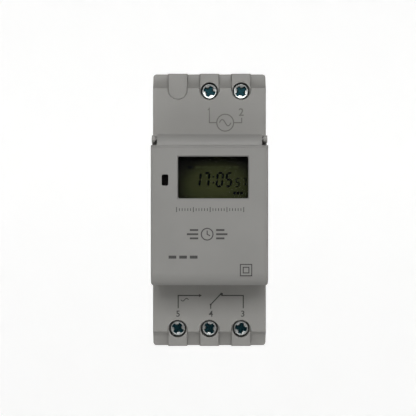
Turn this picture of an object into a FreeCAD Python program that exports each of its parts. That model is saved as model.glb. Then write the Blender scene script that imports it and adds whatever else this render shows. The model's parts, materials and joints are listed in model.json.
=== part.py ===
"""Two-module digital time switch for a 35 mm rail.

Frame, in millimetres: +X to the right and +Z up as the front is looked at, and the front faces -Y.
The origin is the middle of the rail's front plane. Distances called depth are measured forwards
from that plane, so a point at depth d lies at y = -d, and the back of the case has a negative depth.
"""
import FreeCAD, Part
import math
import os

# ---- Case ----
CASE_W = 35.6            # two modules, less the play between neighbours
CASE_H = 86.0
CASE_CORNER_R = 1.0
CASE_EDGE_R = 0.5
WALL = 1.6
BACK_BEHIND_RAIL = 6.0
SEAM_DEPTH = 12.0        # where the rear base meets the front housing
SHOULDER_DEPTH = 40.0
SHOULDER_T = 2.0
TERMINAL_PLATE_T = 5.0   # the shoulder is thicker around the screws
LEDGE_H = 4.65           # hollowed band along each end of the front
LEDGE_STEP = 0.3         # its small step down from the shoulder
LEDGE_CUT = 3.6          # how far its outer end falls back
LEDGE_HOLLOW = 0.6       # how far it curves in from the straight slope
CAVITY_PLAY = 0.1
CUT_OVER = 1.0           # how far a cutting tool runs past the face it opens
FLUSH = 1e-6             # two places nearer than this count as one

# ---- Nose ----
NOSE_H = 45.0
NOSE_INSET = 0.2         # the nose is this much narrower than the case, each side
NOSE_CORNER_R = 0.8
FACE_WALL = 1.4
PANEL_T = 1.4
KEY_PROUD = 0.6          # keys stand this far out of the panel
KEY_TO_FLAP = 0.4

# ---- Flap ----
FLAP_H = 45.7
FLAP_DEPTH = 60.0
FLAP_INSET = 0.1
FLAP_SKIN = 1.8
FLAP_WALL = 1.2
FLAP_REACH = 8.8         # how far its side and bottom walls run back
FLAP_GAP = 0.35
FLAP_BOTTOM_R = 3.8
FLAP_SIDE_R = 0.7
STRIP_H = 3.55           # rounded strip along the flap's top edge
STRIP_STEP = 0.15
STRIP_CROWN = 0.55
RIDGE_H = 0.4            # fine ridge along the strip's foot
RIDGE_PROUD = 0.12
HINGE_DROP = 1.4         # hinge axis below the flap's top edge
HINGE_INSET = 2.1        # hinge axis behind the flap's outer face
HINGE_CLEARANCE = 0.35
LUG_R = 1.1
LUG_T = 1.1
LUG_INSET = 0.25         # lug's outer face inside the flap's side
LUG_SIDE_GAP = 0.55
LUG_UNDER_GAP = 0.85
HINGE_PIN_R = 0.5
HINGE_RUNNING = 0.05
FLAP_WINDOW_W = 21.2
FLAP_WINDOW_H = 12.6
FLAP_WINDOW_CHAMFER = 0.3
WINDOW_X = 1.1
WINDOW_Z = 9.8
LAMP_X = -13.4
LAMP_Z = 9.0
LAMP_HOLE_W = 2.0
LAMP_HOLE_H = 3.4

# ---- Display, lamp and control board ----
LENS_OVERLAP = 0.3       # panel window is this much larger than the flap's, each side
LENS_FIT = 0.05
LENS_FLANGE = 0.5
LENS_FLANGE_T = 0.7
LENS_SINK = 0.2
LCD_BORDER_X = 1.7       # the glass is this much larger than the flap's window, each side
LCD_BORDER_Z = 0.2
LCD_T = 2.4
LCD_GAP = 0.6            # lens flange to the glass
HOLDER_WALL = 0.6
HOLDER_FIT = 0.1
CONNECTOR_W = 22.0
CONNECTOR_H = 1.4
BOARD_T = 1.6
BOARD_PLAY = 0.5
CHIP_SIZE = 10.0
CHIP_T = 1.4
CHIP_FEET = 1.0          # how far the feet stand out round the chip
CRYSTAL_W = 3.0
CRYSTAL_L = 8.0
CRYSTAL_T = 2.4
CRYSTAL_CORNER_R = 1.2
CRYSTAL_GAP = 1.5        # clear of the chip's feet
CELL_R = 10.0
CELL_T = 3.2
CELL_Z = -6.0
CLIP_W = 6.0
CLIP_T = 0.3
LAMP_PIPE_FIT = 0.1
BOARD_SCREW_R = 0.95
BOARD_SCREW_FIT = 0.05
BOARD_SCREW_HEAD_R = 1.7
BOARD_SCREW_HEAD_T = 1.3
BOARD_SCREW_GRIP = 3.0
BOARD_SCREW_X = 12.6
BOARD_SCREW_LOW_Z = -17.6
BOARD_SCREW_HIGH_Z = 19.1
BOSS_WALL = 0.75
SMALL_PART_X = 13.2
SMALL_PART_L = 1.6
SMALL_PART_T = 0.8
SMALL_PART_STEP = 2.6
SMALL_PART_COUNT = 10

# ---- Keys ----
KEY_W = 4.8
KEY_H = 3.4
KEY_CORNER_R = 1.0
KEY_SPACE_X = 2.4        # clear space between keys
KEY_SPACE_Z = 4.4
KEY_TOP_Z = -3.2         # middle of the upper row
KEY_FIT = 0.2
KEY_FLANGE = 0.6
KEY_FLANGE_T = 0.9
KEY_FLANGE_GAP = 0.3
KEY_STEM_R = 1.0
MAT_T = 0.8
MAT_MARGIN = 1.2
DOME_R = 1.7
DOME_H = 1.05
DOME_GAP = 0.1
KEYS = (
    ("key_program", 0, 0),
    ("key_day", 1, 0),
    ("key_hour", 2, 0),
    ("key_minute", 3, 0),
    ("key_manual", 0, 1),
    ("key_clock", 1, 1),
    ("key_recall", 2, 1),
)
KEY_COLUMNS = 4

# ---- Terminals ----
TERMINAL_PITCH = 10.0
TERMINAL_INSET = 5.5     # screw axis to the end of the case
SCREW_HEAD_R = 2.42
SCREW_HEAD_T = 2.2
SCREW_R = 1.75
SCREW_PITCH = 0.6
SCREW_SLOT_W = 0.9
SCREW_CROSS = 1.55       # half length of the cross recess
SCREW_RECESS = 1.3
HEAD_EDGE_R = 0.35
WELL_FIT = 0.33
WELL_WALL = 1.0
WELL_LEDGE_T = 1.0
WELL_LEDGE_GAP = 0.1
SHANK_FIT = 0.15
CHANNEL_MARGIN = 0.1     # channel floor's half width past the well
CHANNEL_DRAFT = 0.35     # its walls lean out by this
CHANNEL_ARC_RISE = 0.35  # its round end's middle, outwards of the screw axis
CHANNEL_CUT = 0.9
TONGUE_DRAFT = 0.3
HEAD_SINK = 1.7          # screw head below the channel's floor
CAGE_TURNS = 6           # screw turns from open to fully clamped
CAGE_FRONT_GAP = 1.2
CAGE_FRONT_T = 2.4
CAGE_REAR_T = 1.4
CAGE_SIDE_T = 1.0
CAGE_LENGTH = 6.0
THREAD_FIT = 0.05
WIRE_W = 5.8             # clear width of the cage
WIRE_H = 4.6             # clear height under the bar with the clamp open
BAR_FIT = 0.5
BAR_T = 1.2
BAR_GAP = 1.4
BAR_RUN = 8.0            # from the screw axis inwards to the bar's leg
SCREW_TIP_GAP = 0.1
ENTRY_LIP = 0.1
ENTRY_R = 0.8
FUNNEL_MARGIN = 0.7
FUNNEL_DEEP = 0.6
PARTITION_T = 1.0
PARTITION_RUN = 10.4
TERMINALS = (
    (1, 0, 1),
    (2, 1, 1),
    (3, 1, -1),
    (4, 0, -1),
    (5, -1, -1),
)                        # number, column from the middle, +1 top or -1 bottom

# ---- Rail seat and latch ----
RAIL_H = 35.0
RAIL_PLAY = 0.2
FLANGE_SPACE = 1.3       # rail plane to the hooks
HOOK_T = 2.3
HOOK_H = 2.1
HOOK_LEAD = 0.8
FLOOR_T = 1.8
LATCH_W = 12.0
LATCH_T = 2.3
LATCH_FIT = 0.25
LATCH_TAB = 2.6          # how far the pull tab stands out of the case's lower end
LATCH_LIP = 1.7
LATCH_SLOT_W = 4.0
LATCH_SLOT_H = 1.0
SPRING_WINDOW_W = 3.6
SPRING_WINDOW_TOP = 6.3  # below the latch's hook tip
SPRING_L = 9.2
SPRING_R = 0.9
SPRING_WIRE_R = 0.18
SPRING_TURNS = 9
PEG_H = 1.8
PEG_FIT = 0.3

# ---- Snaps that hold the case together ----
SNAP_Z = 27.0
SNAP_W = 5.4
SNAP_T = 1.1
SNAP_FIT = 0.2
SNAP_RISE = 6.6
SNAP_BARB = 2.2
SNAP_BARB_UNDER = 0.4
SNAP_ROOT = 2.0

# ---- Power board and what stands on it ----
POWER_BOARD_DEPTH = 9.0  # its front face
POST_R = 2.0
POST_X = 12.5
POST_Z = 14.0
RELAY_W = 12.7
RELAY_L = 29.0
RELAY_H = 15.7
RELAY_LEFT = -14.8
RELAY_LOW = -14.0
RELAY_BASE_T = 2.0
RELAY_SKIN = 0.8
COIL_R = 4.6
COIL_CORE_R = 1.6
COIL_L = 7.4
COIL_FLANGE_T = 0.7
COIL_FLANGE_RISE = 0.6   # flange past the winding
COIL_CORE_PROUD = 0.4    # core's pole face past the bobbin
COIL_MARGIN = 1.0        # cover's inside to the bobbin
COIL_TO_YOKE = 0.4
YOKE_INSET = 1.0         # yoke narrower than the bobbin, each side
YOKE_T = 1.3
ARMATURE_T = 1.2
ARMATURE_GAP = 0.25
POLE_GAP = 0.6
CONTACT_R = 1.4
CONTACT_T = 0.5
CONTACT_OPEN = 0.7
CONTACT_REST = 0.1
CONTACT_BLADE_T = 0.5
CONTACT_BLADE_W = 4.0
CONTACT_LEG_GAP = 0.4
DROPPER_W = 7.5
DROPPER_L = 18.0
DROPPER_H = 13.5
DROPPER_X = 6.2
DROPPER_Z = -10.0
SMOOTHING = ((6.4, 6.2, 4.0, 12.0), (12.6, 5.0, 2.5, 9.0))
VARISTOR_X = 5.0
VARISTOR_R = 4.6
VARISTOR_T = 3.4
RESISTOR_R = 1.5
RESISTOR_L = 8.0
RESISTOR_WIRE = 1.0      # wire beyond each end of the body
RESISTORS = ((-12.2, 21.5), (-8.0, 21.5))
DIODE_R = 0.9
DIODE_L = 4.0
DIODE_X = 13.0
DIODE_ZS = (-16.0, -12.0, -8.0, -4.0)
LEAD_GAP = 0.4
RIBBON_X = 3.0
RIBBON_Z = 17.6
RIBBON_W = 11.0
RIBBON_T = 0.6
SOCKET_L = 3.0
SOCKET_MARGIN = 0.8

# ---- Side label ----
LABEL_LOW_DEPTH = 14.0
LABEL_HIGH_DEPTH = 38.0
LABEL_H = 40.0
LABEL_T = 0.1
LABEL_SINK = 0.05        # the label lies this far below the side's face
LABEL_PLAY = 0.3

# ---- Worked-out places ----
half_w = CASE_W / 2
half_h = CASE_H / 2
inner_x = half_w - WALL
inner_z = half_h - WALL
back_depth = -BACK_BEHIND_RAIL

nose_half_w = half_w - NOSE_INSET
nose_half_h = NOSE_H / 2
flap_half_w = half_w - FLAP_INSET
flap_top = FLAP_H / 2
flap_inner_x = flap_half_w - FLAP_WALL
flap_back = FLAP_DEPTH - FLAP_REACH
step_depth = flap_back - FLAP_GAP
panel_depth = FLAP_DEPTH - FLAP_SKIN - KEY_TO_FLAP - KEY_PROUD
panel_back = panel_depth - PANEL_T
face_half_w = flap_inner_x - FLAP_GAP
face_low = -(flap_top - FLAP_WALL - FLAP_GAP)
face_inner_x = face_half_w - FACE_WALL

hinge_z = flap_top - HINGE_DROP
hinge_depth = FLAP_DEPTH - HINGE_INSET
hinge_sweep_r = math.hypot(HINGE_DROP, HINGE_INSET) + HINGE_CLEARANCE
face_high = hinge_z - hinge_sweep_r
face_top_depth = hinge_depth - hinge_sweep_r
lug_out = flap_half_w - LUG_INSET
lug_in = lug_out - LUG_T
notch_in = lug_in - LUG_SIDE_GAP
notch_low = hinge_z - LUG_R - LUG_UNDER_GAP

board_front = step_depth - FACE_WALL - CAVITY_PLAY
board_back = board_front - BOARD_T
board_half_w = nose_half_w - WALL - BOARD_PLAY
board_half_h = nose_half_h - WALL - BOARD_PLAY
lens_w = FLAP_WINDOW_W + 2 * LENS_OVERLAP
lens_h = FLAP_WINDOW_H + 2 * LENS_OVERLAP
lcd_w = FLAP_WINDOW_W + 2 * LCD_BORDER_X
lcd_h = FLAP_WINDOW_H + 2 * LCD_BORDER_Z
lens_back = panel_back - LENS_FLANGE_T
lcd_front = lens_back - LCD_GAP
lcd_back = lcd_front - LCD_T

key_pitch_x = KEY_W + KEY_SPACE_X
key_pitch_z = KEY_H + KEY_SPACE_Z
key_top_depth = panel_depth + KEY_PROUD
key_flange_front = panel_back - KEY_FLANGE_GAP
key_flange_back = key_flange_front - KEY_FLANGE_T
mat_front = board_front + MAT_T
dome_depth = mat_front + DOME_H

terminal_z = half_h - TERMINAL_INSET
well_r = SCREW_HEAD_R + WELL_FIT
channel_half_w = well_r + CHANNEL_MARGIN
channel_floor = SHOULDER_DEPTH - CHANNEL_CUT
band_z = half_h - LEDGE_H
band_end_depth = SHOULDER_DEPTH - LEDGE_CUT
head_front = channel_floor - HEAD_SINK
head_back = head_front - SCREW_HEAD_T
well_ledge_front = head_back - WELL_LEDGE_GAP
well_ledge_back = well_ledge_front - WELL_LEDGE_T
cage_travel = CAGE_TURNS * SCREW_PITCH
cage_front = well_ledge_back - CAGE_FRONT_GAP - cage_travel
cage_window_front = cage_front - CAGE_FRONT_T
bar_front = cage_window_front - BAR_GAP
bar_back = bar_front - BAR_T
cage_window_back = bar_back - WIRE_H
cage_back = cage_window_back - CAGE_REAR_T
cage_half_w = WIRE_W / 2 + CAGE_SIDE_T
bar_half_w = WIRE_W / 2 - BAR_FIT
entry_mid = (bar_back + cage_window_back) / 2
terminal_zone_z = terminal_z - well_r - WELL_WALL - CAVITY_PLAY

rail_half = RAIL_H / 2 + RAIL_PLAY
hook_back = -(FLANGE_SPACE + HOOK_T)
latch_front = -(FLANGE_SPACE + LATCH_FIT)
latch_back = latch_front - LATCH_T
latch_half_w = LATCH_W / 2
latch_tip = -(rail_half - HOOK_H)
latch_end = -(half_h + LATCH_TAB)
channel_back = latch_back - LATCH_FIT
spring_top = latch_tip - SPRING_WINDOW_TOP
spring_low = spring_top - SPRING_L
peg_low = spring_low - PEG_H

power_board_back = POWER_BOARD_DEPTH - BOARD_T
ribbon_top = RIBBON_Z + RIBBON_T / 2 + SOCKET_MARGIN
varistor_z = (ribbon_top + terminal_z - BAR_RUN) / 2


def vec(x, depth, z):
    """A point given by its depth in front of the rail plane."""
    return FreeCAD.Vector(x, -depth, z)


def block(x_low, x_high, depth_low, depth_high, z_low, z_high):
    """A box between two depths."""
    size_x = x_high - x_low
    size_y = depth_high - depth_low
    size_z = z_high - z_low
    return Part.makeBox(size_x, size_y, size_z, vec(x_low, depth_high, z_low))


def edges_along(solid, direction):
    """The straight edges that run along a direction."""
    picked = []
    for edge in solid.Edges:
        span = edge.Vertexes[-1].Point - edge.Vertexes[0].Point
        if span.Length > 0 and span.cross(direction).Length < FLUSH * span.Length:
            picked.append(edge)
    return picked


def slab(x_mid, z_mid, width, height, depth_low, depth_high, radius):
    """An upright plate whose four corners are rounded as seen from the front."""
    plain = block(x_mid - width / 2, x_mid + width / 2, depth_low, depth_high,
                  z_mid - height / 2, z_mid + height / 2)
    return plain.makeFillet(radius, edges_along(plain, FreeCAD.Vector(0, 1, 0)))


def rod(x, z, radius, depth_low, depth_high):
    """A round bar that points forwards."""
    return Part.makeCylinder(radius, depth_high - depth_low, vec(x, depth_high, z), FreeCAD.Vector(0, 1, 0))


def cross_rod(x_low, x_high, depth, z, radius):
    """A round bar that lies along X."""
    return Part.makeCylinder(radius, x_high - x_low, vec(x_low, depth, z), FreeCAD.Vector(1, 0, 0))


def upright_rod(x, depth, z_low, z_high, radius):
    """A round bar that stands along Z."""
    return Part.makeCylinder(radius, z_high - z_low, vec(x, depth, z_low), FreeCAD.Vector(0, 0, 1))


def joined(shapes):
    """One solid from shapes that touch or overlap."""
    whole = shapes[0].multiFuse(shapes[1:])
    return whole.removeSplitter()


def save(name, shape):
    """Writes one sub-part."""
    shape.exportStep("parts/" + name + ".step")


def terminal_x(column):
    """Screw axis of a terminal column."""
    return column * TERMINAL_PITCH


def key_place(column, row):
    """Middle of a key."""
    x = (column - (KEY_COLUMNS - 1) / 2) * key_pitch_x
    z = KEY_TOP_Z - row * key_pitch_z
    return x, z


def end_block(x_low, x_high, depth_low, depth_high, run_low, run_high, side):
    """A box measured from the middle towards the top (side 1) or the bottom (side -1)."""
    ends = sorted((side * run_low, side * run_high))
    return block(x_low, x_high, depth_low, depth_high, ends[0], ends[1])


def rear_base():
    """Back shell with the rail seat, the fixed hook and the latch's guide."""
    shell = slab(0, 0, CASE_W, CASE_H, back_depth, SEAM_DEPTH, CASE_CORNER_R)
    seat = block(-half_w, half_w, back_depth, 0, -rail_half, rail_half)
    cavity = block(-inner_x, inner_x, FLOOR_T, SEAM_DEPTH, -inner_z, inner_z)
    upper_room = block(-inner_x, inner_x, back_depth + WALL, FLOOR_T, rail_half + WALL, inner_z)
    guide = block(-latch_half_w - LATCH_FIT, latch_half_w + LATCH_FIT, channel_back, -FLANGE_SPACE,
                  -half_h, -rail_half)
    guide_slot = block(-latch_half_w + LATCH_LIP, latch_half_w - LATCH_LIP, back_depth, channel_back,
                       -half_h, -rail_half)
    base = shell.cut([seat, cavity, upper_room, guide, guide_slot])
    hook_points = [
        vec(-half_w, -FLANGE_SPACE, rail_half + WALL),
        vec(-half_w, -FLANGE_SPACE, rail_half - HOOK_H),
        vec(-half_w, hook_back + HOOK_LEAD, rail_half - HOOK_H),
        vec(-half_w, hook_back, rail_half - HOOK_H + HOOK_LEAD),
        vec(-half_w, hook_back, rail_half + WALL),
    ]
    hook_wire = Part.makePolygon(hook_points + hook_points[:1])
    hook = Part.Face(hook_wire).extrude(FreeCAD.Vector(CASE_W, 0, 0))
    pieces = [base, hook]
    peg_half = SPRING_WINDOW_W / 2 - PEG_FIT
    peg = block(-peg_half, peg_half, latch_back, -FLANGE_SPACE, peg_low, spring_low)
    pieces.append(peg)
    for x_side in (-1, 1):
        for z_side in (-1, 1):
            pieces.append(rod(x_side * POST_X, z_side * POST_Z, POST_R, FLOOR_T, power_board_back))
    for x_side in (-1, 1):
        for z_side in (-1, 1):
            pieces.extend(snap_arm(x_side, z_side * SNAP_Z))
    return joined(pieces)


def snap_arm(x_side, z_mid):
    """A springy arm with a barb, which stands up from the base's side wall."""
    outer = inner_x - SNAP_FIT
    xs = sorted((x_side * outer, x_side * (outer - SNAP_T)))
    top = SEAM_DEPTH + SNAP_RISE
    arm = block(xs[0], xs[1], SEAM_DEPTH - SNAP_ROOT, top, z_mid - SNAP_W / 2, z_mid + SNAP_W / 2)
    root_xs = sorted((x_side * (outer - SNAP_T), x_side * (inner_x + WALL / 2)))
    root = block(root_xs[0], root_xs[1], SEAM_DEPTH - SNAP_ROOT - SNAP_T, SEAM_DEPTH - SNAP_ROOT,
                 z_mid - SNAP_W / 2, z_mid + SNAP_W / 2)
    tip = half_w - SNAP_BARB_UNDER
    barb_points = [
        vec(x_side * outer, top - SNAP_BARB, z_mid - SNAP_W / 2),
        vec(x_side * tip, top - SNAP_BARB, z_mid - SNAP_W / 2),
        vec(x_side * outer, top, z_mid - SNAP_W / 2),
    ]
    barb = Part.Face(Part.makePolygon(barb_points + barb_points[:1])).extrude(FreeCAD.Vector(0, 0, SNAP_W))
    return [arm, root, barb]


def channel_outline(x, side, half, depth):
    """A U that is open at the case's end, as a closed wire at one depth."""
    mid = side * (terminal_z + CHANNEL_ARC_RISE)
    end = side * (half_h + CUT_OVER)
    left = vec(x - half, depth, mid)
    right = vec(x + half, depth, mid)
    right_end = vec(x + half, depth, end)
    left_end = vec(x - half, depth, end)
    edges = [
        Part.Arc(left, vec(x, depth, mid - side * half), right).toShape(),
        Part.LineSegment(right, right_end).toShape(),
        Part.LineSegment(right_end, left_end).toShape(),
        Part.LineSegment(left_end, left).toShape(),
    ]
    return Part.Wire(edges)


def tongue(x, side):
    """The strip under a screw channel, whose sides lean out towards the band beside it."""
    wires = []
    for depth, half in ((band_end_depth - CUT_OVER, channel_half_w + TONGUE_DRAFT),
                        (SHOULDER_DEPTH + CUT_OVER, channel_half_w)):
        corners = [
            vec(x - half, depth, side * band_z),
            vec(x + half, depth, side * band_z),
            vec(x + half, depth, side * (half_h + CUT_OVER)),
            vec(x - half, depth, side * (half_h + CUT_OVER)),
        ]
        wires.append(Part.makePolygon(corners + corners[:1]))
    return Part.makeLoft(wires, True, True)


def hollowed_band(side):
    """What is cut from one end of the front: a small step, then a hollow that falls back to the end."""
    x = -half_w - CUT_OVER
    front = SHOULDER_DEPTH + CUT_OVER
    step_depth_here = SHOULDER_DEPTH - LEDGE_STEP
    slope_mid_depth = (step_depth_here + band_end_depth) / 2 - LEDGE_HOLLOW
    slope_mid_z = (band_z + half_h) / 2 - LEDGE_HOLLOW
    step_foot = vec(x, step_depth_here, side * band_z)
    slope_mid = vec(x, slope_mid_depth, side * slope_mid_z)
    slope_end = vec(x, band_end_depth, side * half_h)
    outside = vec(x, band_end_depth, side * (half_h + CUT_OVER))
    outside_front = vec(x, front, side * (half_h + CUT_OVER))
    inside_front = vec(x, front, side * band_z)
    edges = [
        Part.LineSegment(inside_front, step_foot).toShape(),
        Part.Arc(step_foot, slope_mid, slope_end).toShape(),
        Part.LineSegment(slope_end, outside).toShape(),
        Part.LineSegment(outside, outside_front).toShape(),
        Part.LineSegment(outside_front, inside_front).toShape(),
    ]
    return Part.Face(Part.Wire(edges)).extrude(FreeCAD.Vector(CASE_W + 2 * CUT_OVER, 0, 0))


def shoulder_cuts():
    """Hollowed bands along both ends, broken by the tongues that carry the screw channels."""
    cuts = []
    for side in (-1, 1):
        middles = [terminal_x(column) for column in (-1, 0, 1)]
        tongues = [tongue(x, side) for x in middles]
        cuts.append(hollowed_band(side).cut(tongues))
        for x in middles:
            floor = channel_outline(x, side, channel_half_w, channel_floor)
            mouth = channel_outline(x, side, channel_half_w + CHANNEL_DRAFT, SHOULDER_DEPTH)
            cuts.append(Part.makeLoft([floor, mouth], True, True))
    return cuts


def front_housing():
    """Front shell: shoulders, nose, panel, hinge lugs, screw wells and partitions."""
    shell = slab(0, 0, CASE_W, CASE_H, SEAM_DEPTH, SHOULDER_DEPTH, CASE_CORNER_R)
    front_rim = []
    for edge in shell.Edges:
        if abs(edge.CenterOfMass.y + SHOULDER_DEPTH) < FLUSH:
            front_rim.append(edge)
    shell = shell.makeFillet(CASE_EDGE_R, front_rim)
    nose = slab(0, 0, 2 * nose_half_w, NOSE_H, SHOULDER_DEPTH - SHOULDER_T, step_depth, NOSE_CORNER_R)
    face = slab(0, (face_high + face_low) / 2, 2 * face_half_w, face_high - face_low,
                step_depth - FACE_WALL, panel_depth, NOSE_CORNER_R)
    brow = block(-face_half_w, face_half_w, step_depth - FACE_WALL, face_top_depth, 0, nose_half_h)
    lugs = []
    for side in (-1, 1):
        xs = sorted((side * lug_in, side * lug_out))
        lugs.append(block(xs[0], xs[1], step_depth - FACE_WALL, hinge_depth,
                          hinge_z - LUG_R, hinge_z + LUG_R))
        lugs.append(cross_rod(xs[0], xs[1], hinge_depth, hinge_z, LUG_R))
    body = joined([shell, nose, face, brow] + lugs)

    brow_inner_z = nose_half_h - WALL
    hollows = [
        block(-inner_x, inner_x, SEAM_DEPTH, SHOULDER_DEPTH - TERMINAL_PLATE_T, -inner_z, inner_z),
        block(-inner_x, inner_x, SEAM_DEPTH, SHOULDER_DEPTH - SHOULDER_T, -terminal_zone_z, terminal_zone_z),
        block(-nose_half_w + WALL, nose_half_w - WALL, SEAM_DEPTH, step_depth - FACE_WALL,
              -brow_inner_z, brow_inner_z),
        block(-face_inner_x, face_inner_x, SEAM_DEPTH, panel_back,
              face_low + FACE_WALL, face_high - FACE_WALL),
        block(-face_inner_x, face_inner_x, SEAM_DEPTH, face_top_depth - FACE_WALL,
              face_low + FACE_WALL, brow_inner_z),
    ]
    body = body.cut(hollows)

    added = []
    for number, column, side in TERMINALS:
        x = terminal_x(column)
        added.append(rod(x, side * terminal_z, well_r + WELL_WALL, well_ledge_back,
                         SHOULDER_DEPTH - TERMINAL_PLATE_T + CAVITY_PLAY))
    for side in (-1, 1):
        for x in (-TERMINAL_PITCH / 2, TERMINAL_PITCH / 2):
            added.append(end_block(x - PARTITION_T / 2, x + PARTITION_T / 2, SEAM_DEPTH + WALL,
                                   SHOULDER_DEPTH - SHOULDER_T, inner_z - PARTITION_RUN,
                                   inner_z + WALL / 2, side))
    boss_r = BOARD_SCREW_R + BOARD_SCREW_FIT + BOSS_WALL
    for x_side in (-1, 1):
        x = x_side * BOARD_SCREW_X
        added.append(rod(x, BOARD_SCREW_LOW_Z, boss_r, board_front, panel_back + PANEL_T / 2))
        added.append(rod(x, BOARD_SCREW_HIGH_Z, boss_r, board_front, face_top_depth - FACE_WALL / 2))
    body = joined([body] + added)

    cuts = shoulder_cuts()
    for number, column, side in TERMINALS:
        x = terminal_x(column)
        z = side * terminal_z
        cuts.append(rod(x, z, well_r, well_ledge_front, SHOULDER_DEPTH))
        cuts.append(rod(x, z, SCREW_R + SHANK_FIT, well_ledge_back - CUT_OVER, well_ledge_front))
        entry = wire_entry(x, side)
        cuts.extend(entry)
    for x_side in (-1, 1):
        for z in (BOARD_SCREW_LOW_Z, BOARD_SCREW_HIGH_Z):
            cuts.append(rod(x_side * BOARD_SCREW_X, z, BOARD_SCREW_R + BOARD_SCREW_FIT, board_front,
                            board_front + BOARD_SCREW_GRIP + BOARD_SCREW_FIT))
    cuts.append(slab(WINDOW_X, WINDOW_Z, lens_w, lens_h, panel_back, panel_depth, CASE_EDGE_R))
    cuts.append(slab(LAMP_X, LAMP_Z, LAMP_HOLE_W + 2 * LAMP_PIPE_FIT, LAMP_HOLE_H + 2 * LAMP_PIPE_FIT,
                     panel_back, panel_depth, CASE_EDGE_R))
    for name, column, row in KEYS:
        x, z = key_place(column, row)
        cuts.append(slab(x, z, KEY_W + 2 * KEY_FIT, KEY_H + 2 * KEY_FIT, panel_back, panel_depth,
                         KEY_CORNER_R + KEY_FIT))
    label_half_h = LABEL_H / 2 + LABEL_PLAY
    cuts.append(block(-half_w - CUT_OVER, LABEL_SINK + LABEL_T - half_w, LABEL_LOW_DEPTH - LABEL_PLAY,
                      LABEL_HIGH_DEPTH + LABEL_PLAY, -label_half_h, label_half_h))
    for side in (-1, 1):
        xs = sorted((side * (lug_in - CUT_OVER), side * (lug_out + CUT_OVER)))
        cuts.append(cross_rod(xs[0], xs[1], hinge_depth, hinge_z, HINGE_PIN_R + HINGE_RUNNING))
        for z_side in (-1, 1):
            window_xs = sorted((side * (inner_x - WALL), side * (half_w + CUT_OVER)))
            cuts.append(block(window_xs[0], window_xs[1], SEAM_DEPTH + SNAP_RISE - SNAP_BARB - SNAP_FIT,
                              SEAM_DEPTH + SNAP_RISE + SNAP_FIT, z_side * SNAP_Z - SNAP_W / 2 - SNAP_FIT,
                              z_side * SNAP_Z + SNAP_W / 2 + SNAP_FIT))
    return body.cut(cuts)


def wire_entry(x, side):
    """The rounded hole through the end wall, with its shallow funnel."""
    half_x = WIRE_W / 2 - ENTRY_LIP
    half_d = WIRE_H / 2
    hole = end_block(x - half_x, x + half_x, entry_mid - half_d, entry_mid + half_d,
                     inner_z - CAVITY_PLAY, half_h, side)
    upright = FreeCAD.Vector(0, 0, 1)
    hole = hole.makeFillet(ENTRY_R, edges_along(hole, upright))
    funnel = end_block(x - half_x - FUNNEL_MARGIN, x + half_x + FUNNEL_MARGIN,
                       entry_mid - half_d - FUNNEL_MARGIN, entry_mid + half_d + FUNNEL_MARGIN,
                       half_h - FUNNEL_DEEP, half_h, side)
    funnel = funnel.makeFillet(ENTRY_R + FUNNEL_MARGIN, edges_along(funnel, upright))
    return [hole, funnel]


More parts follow.
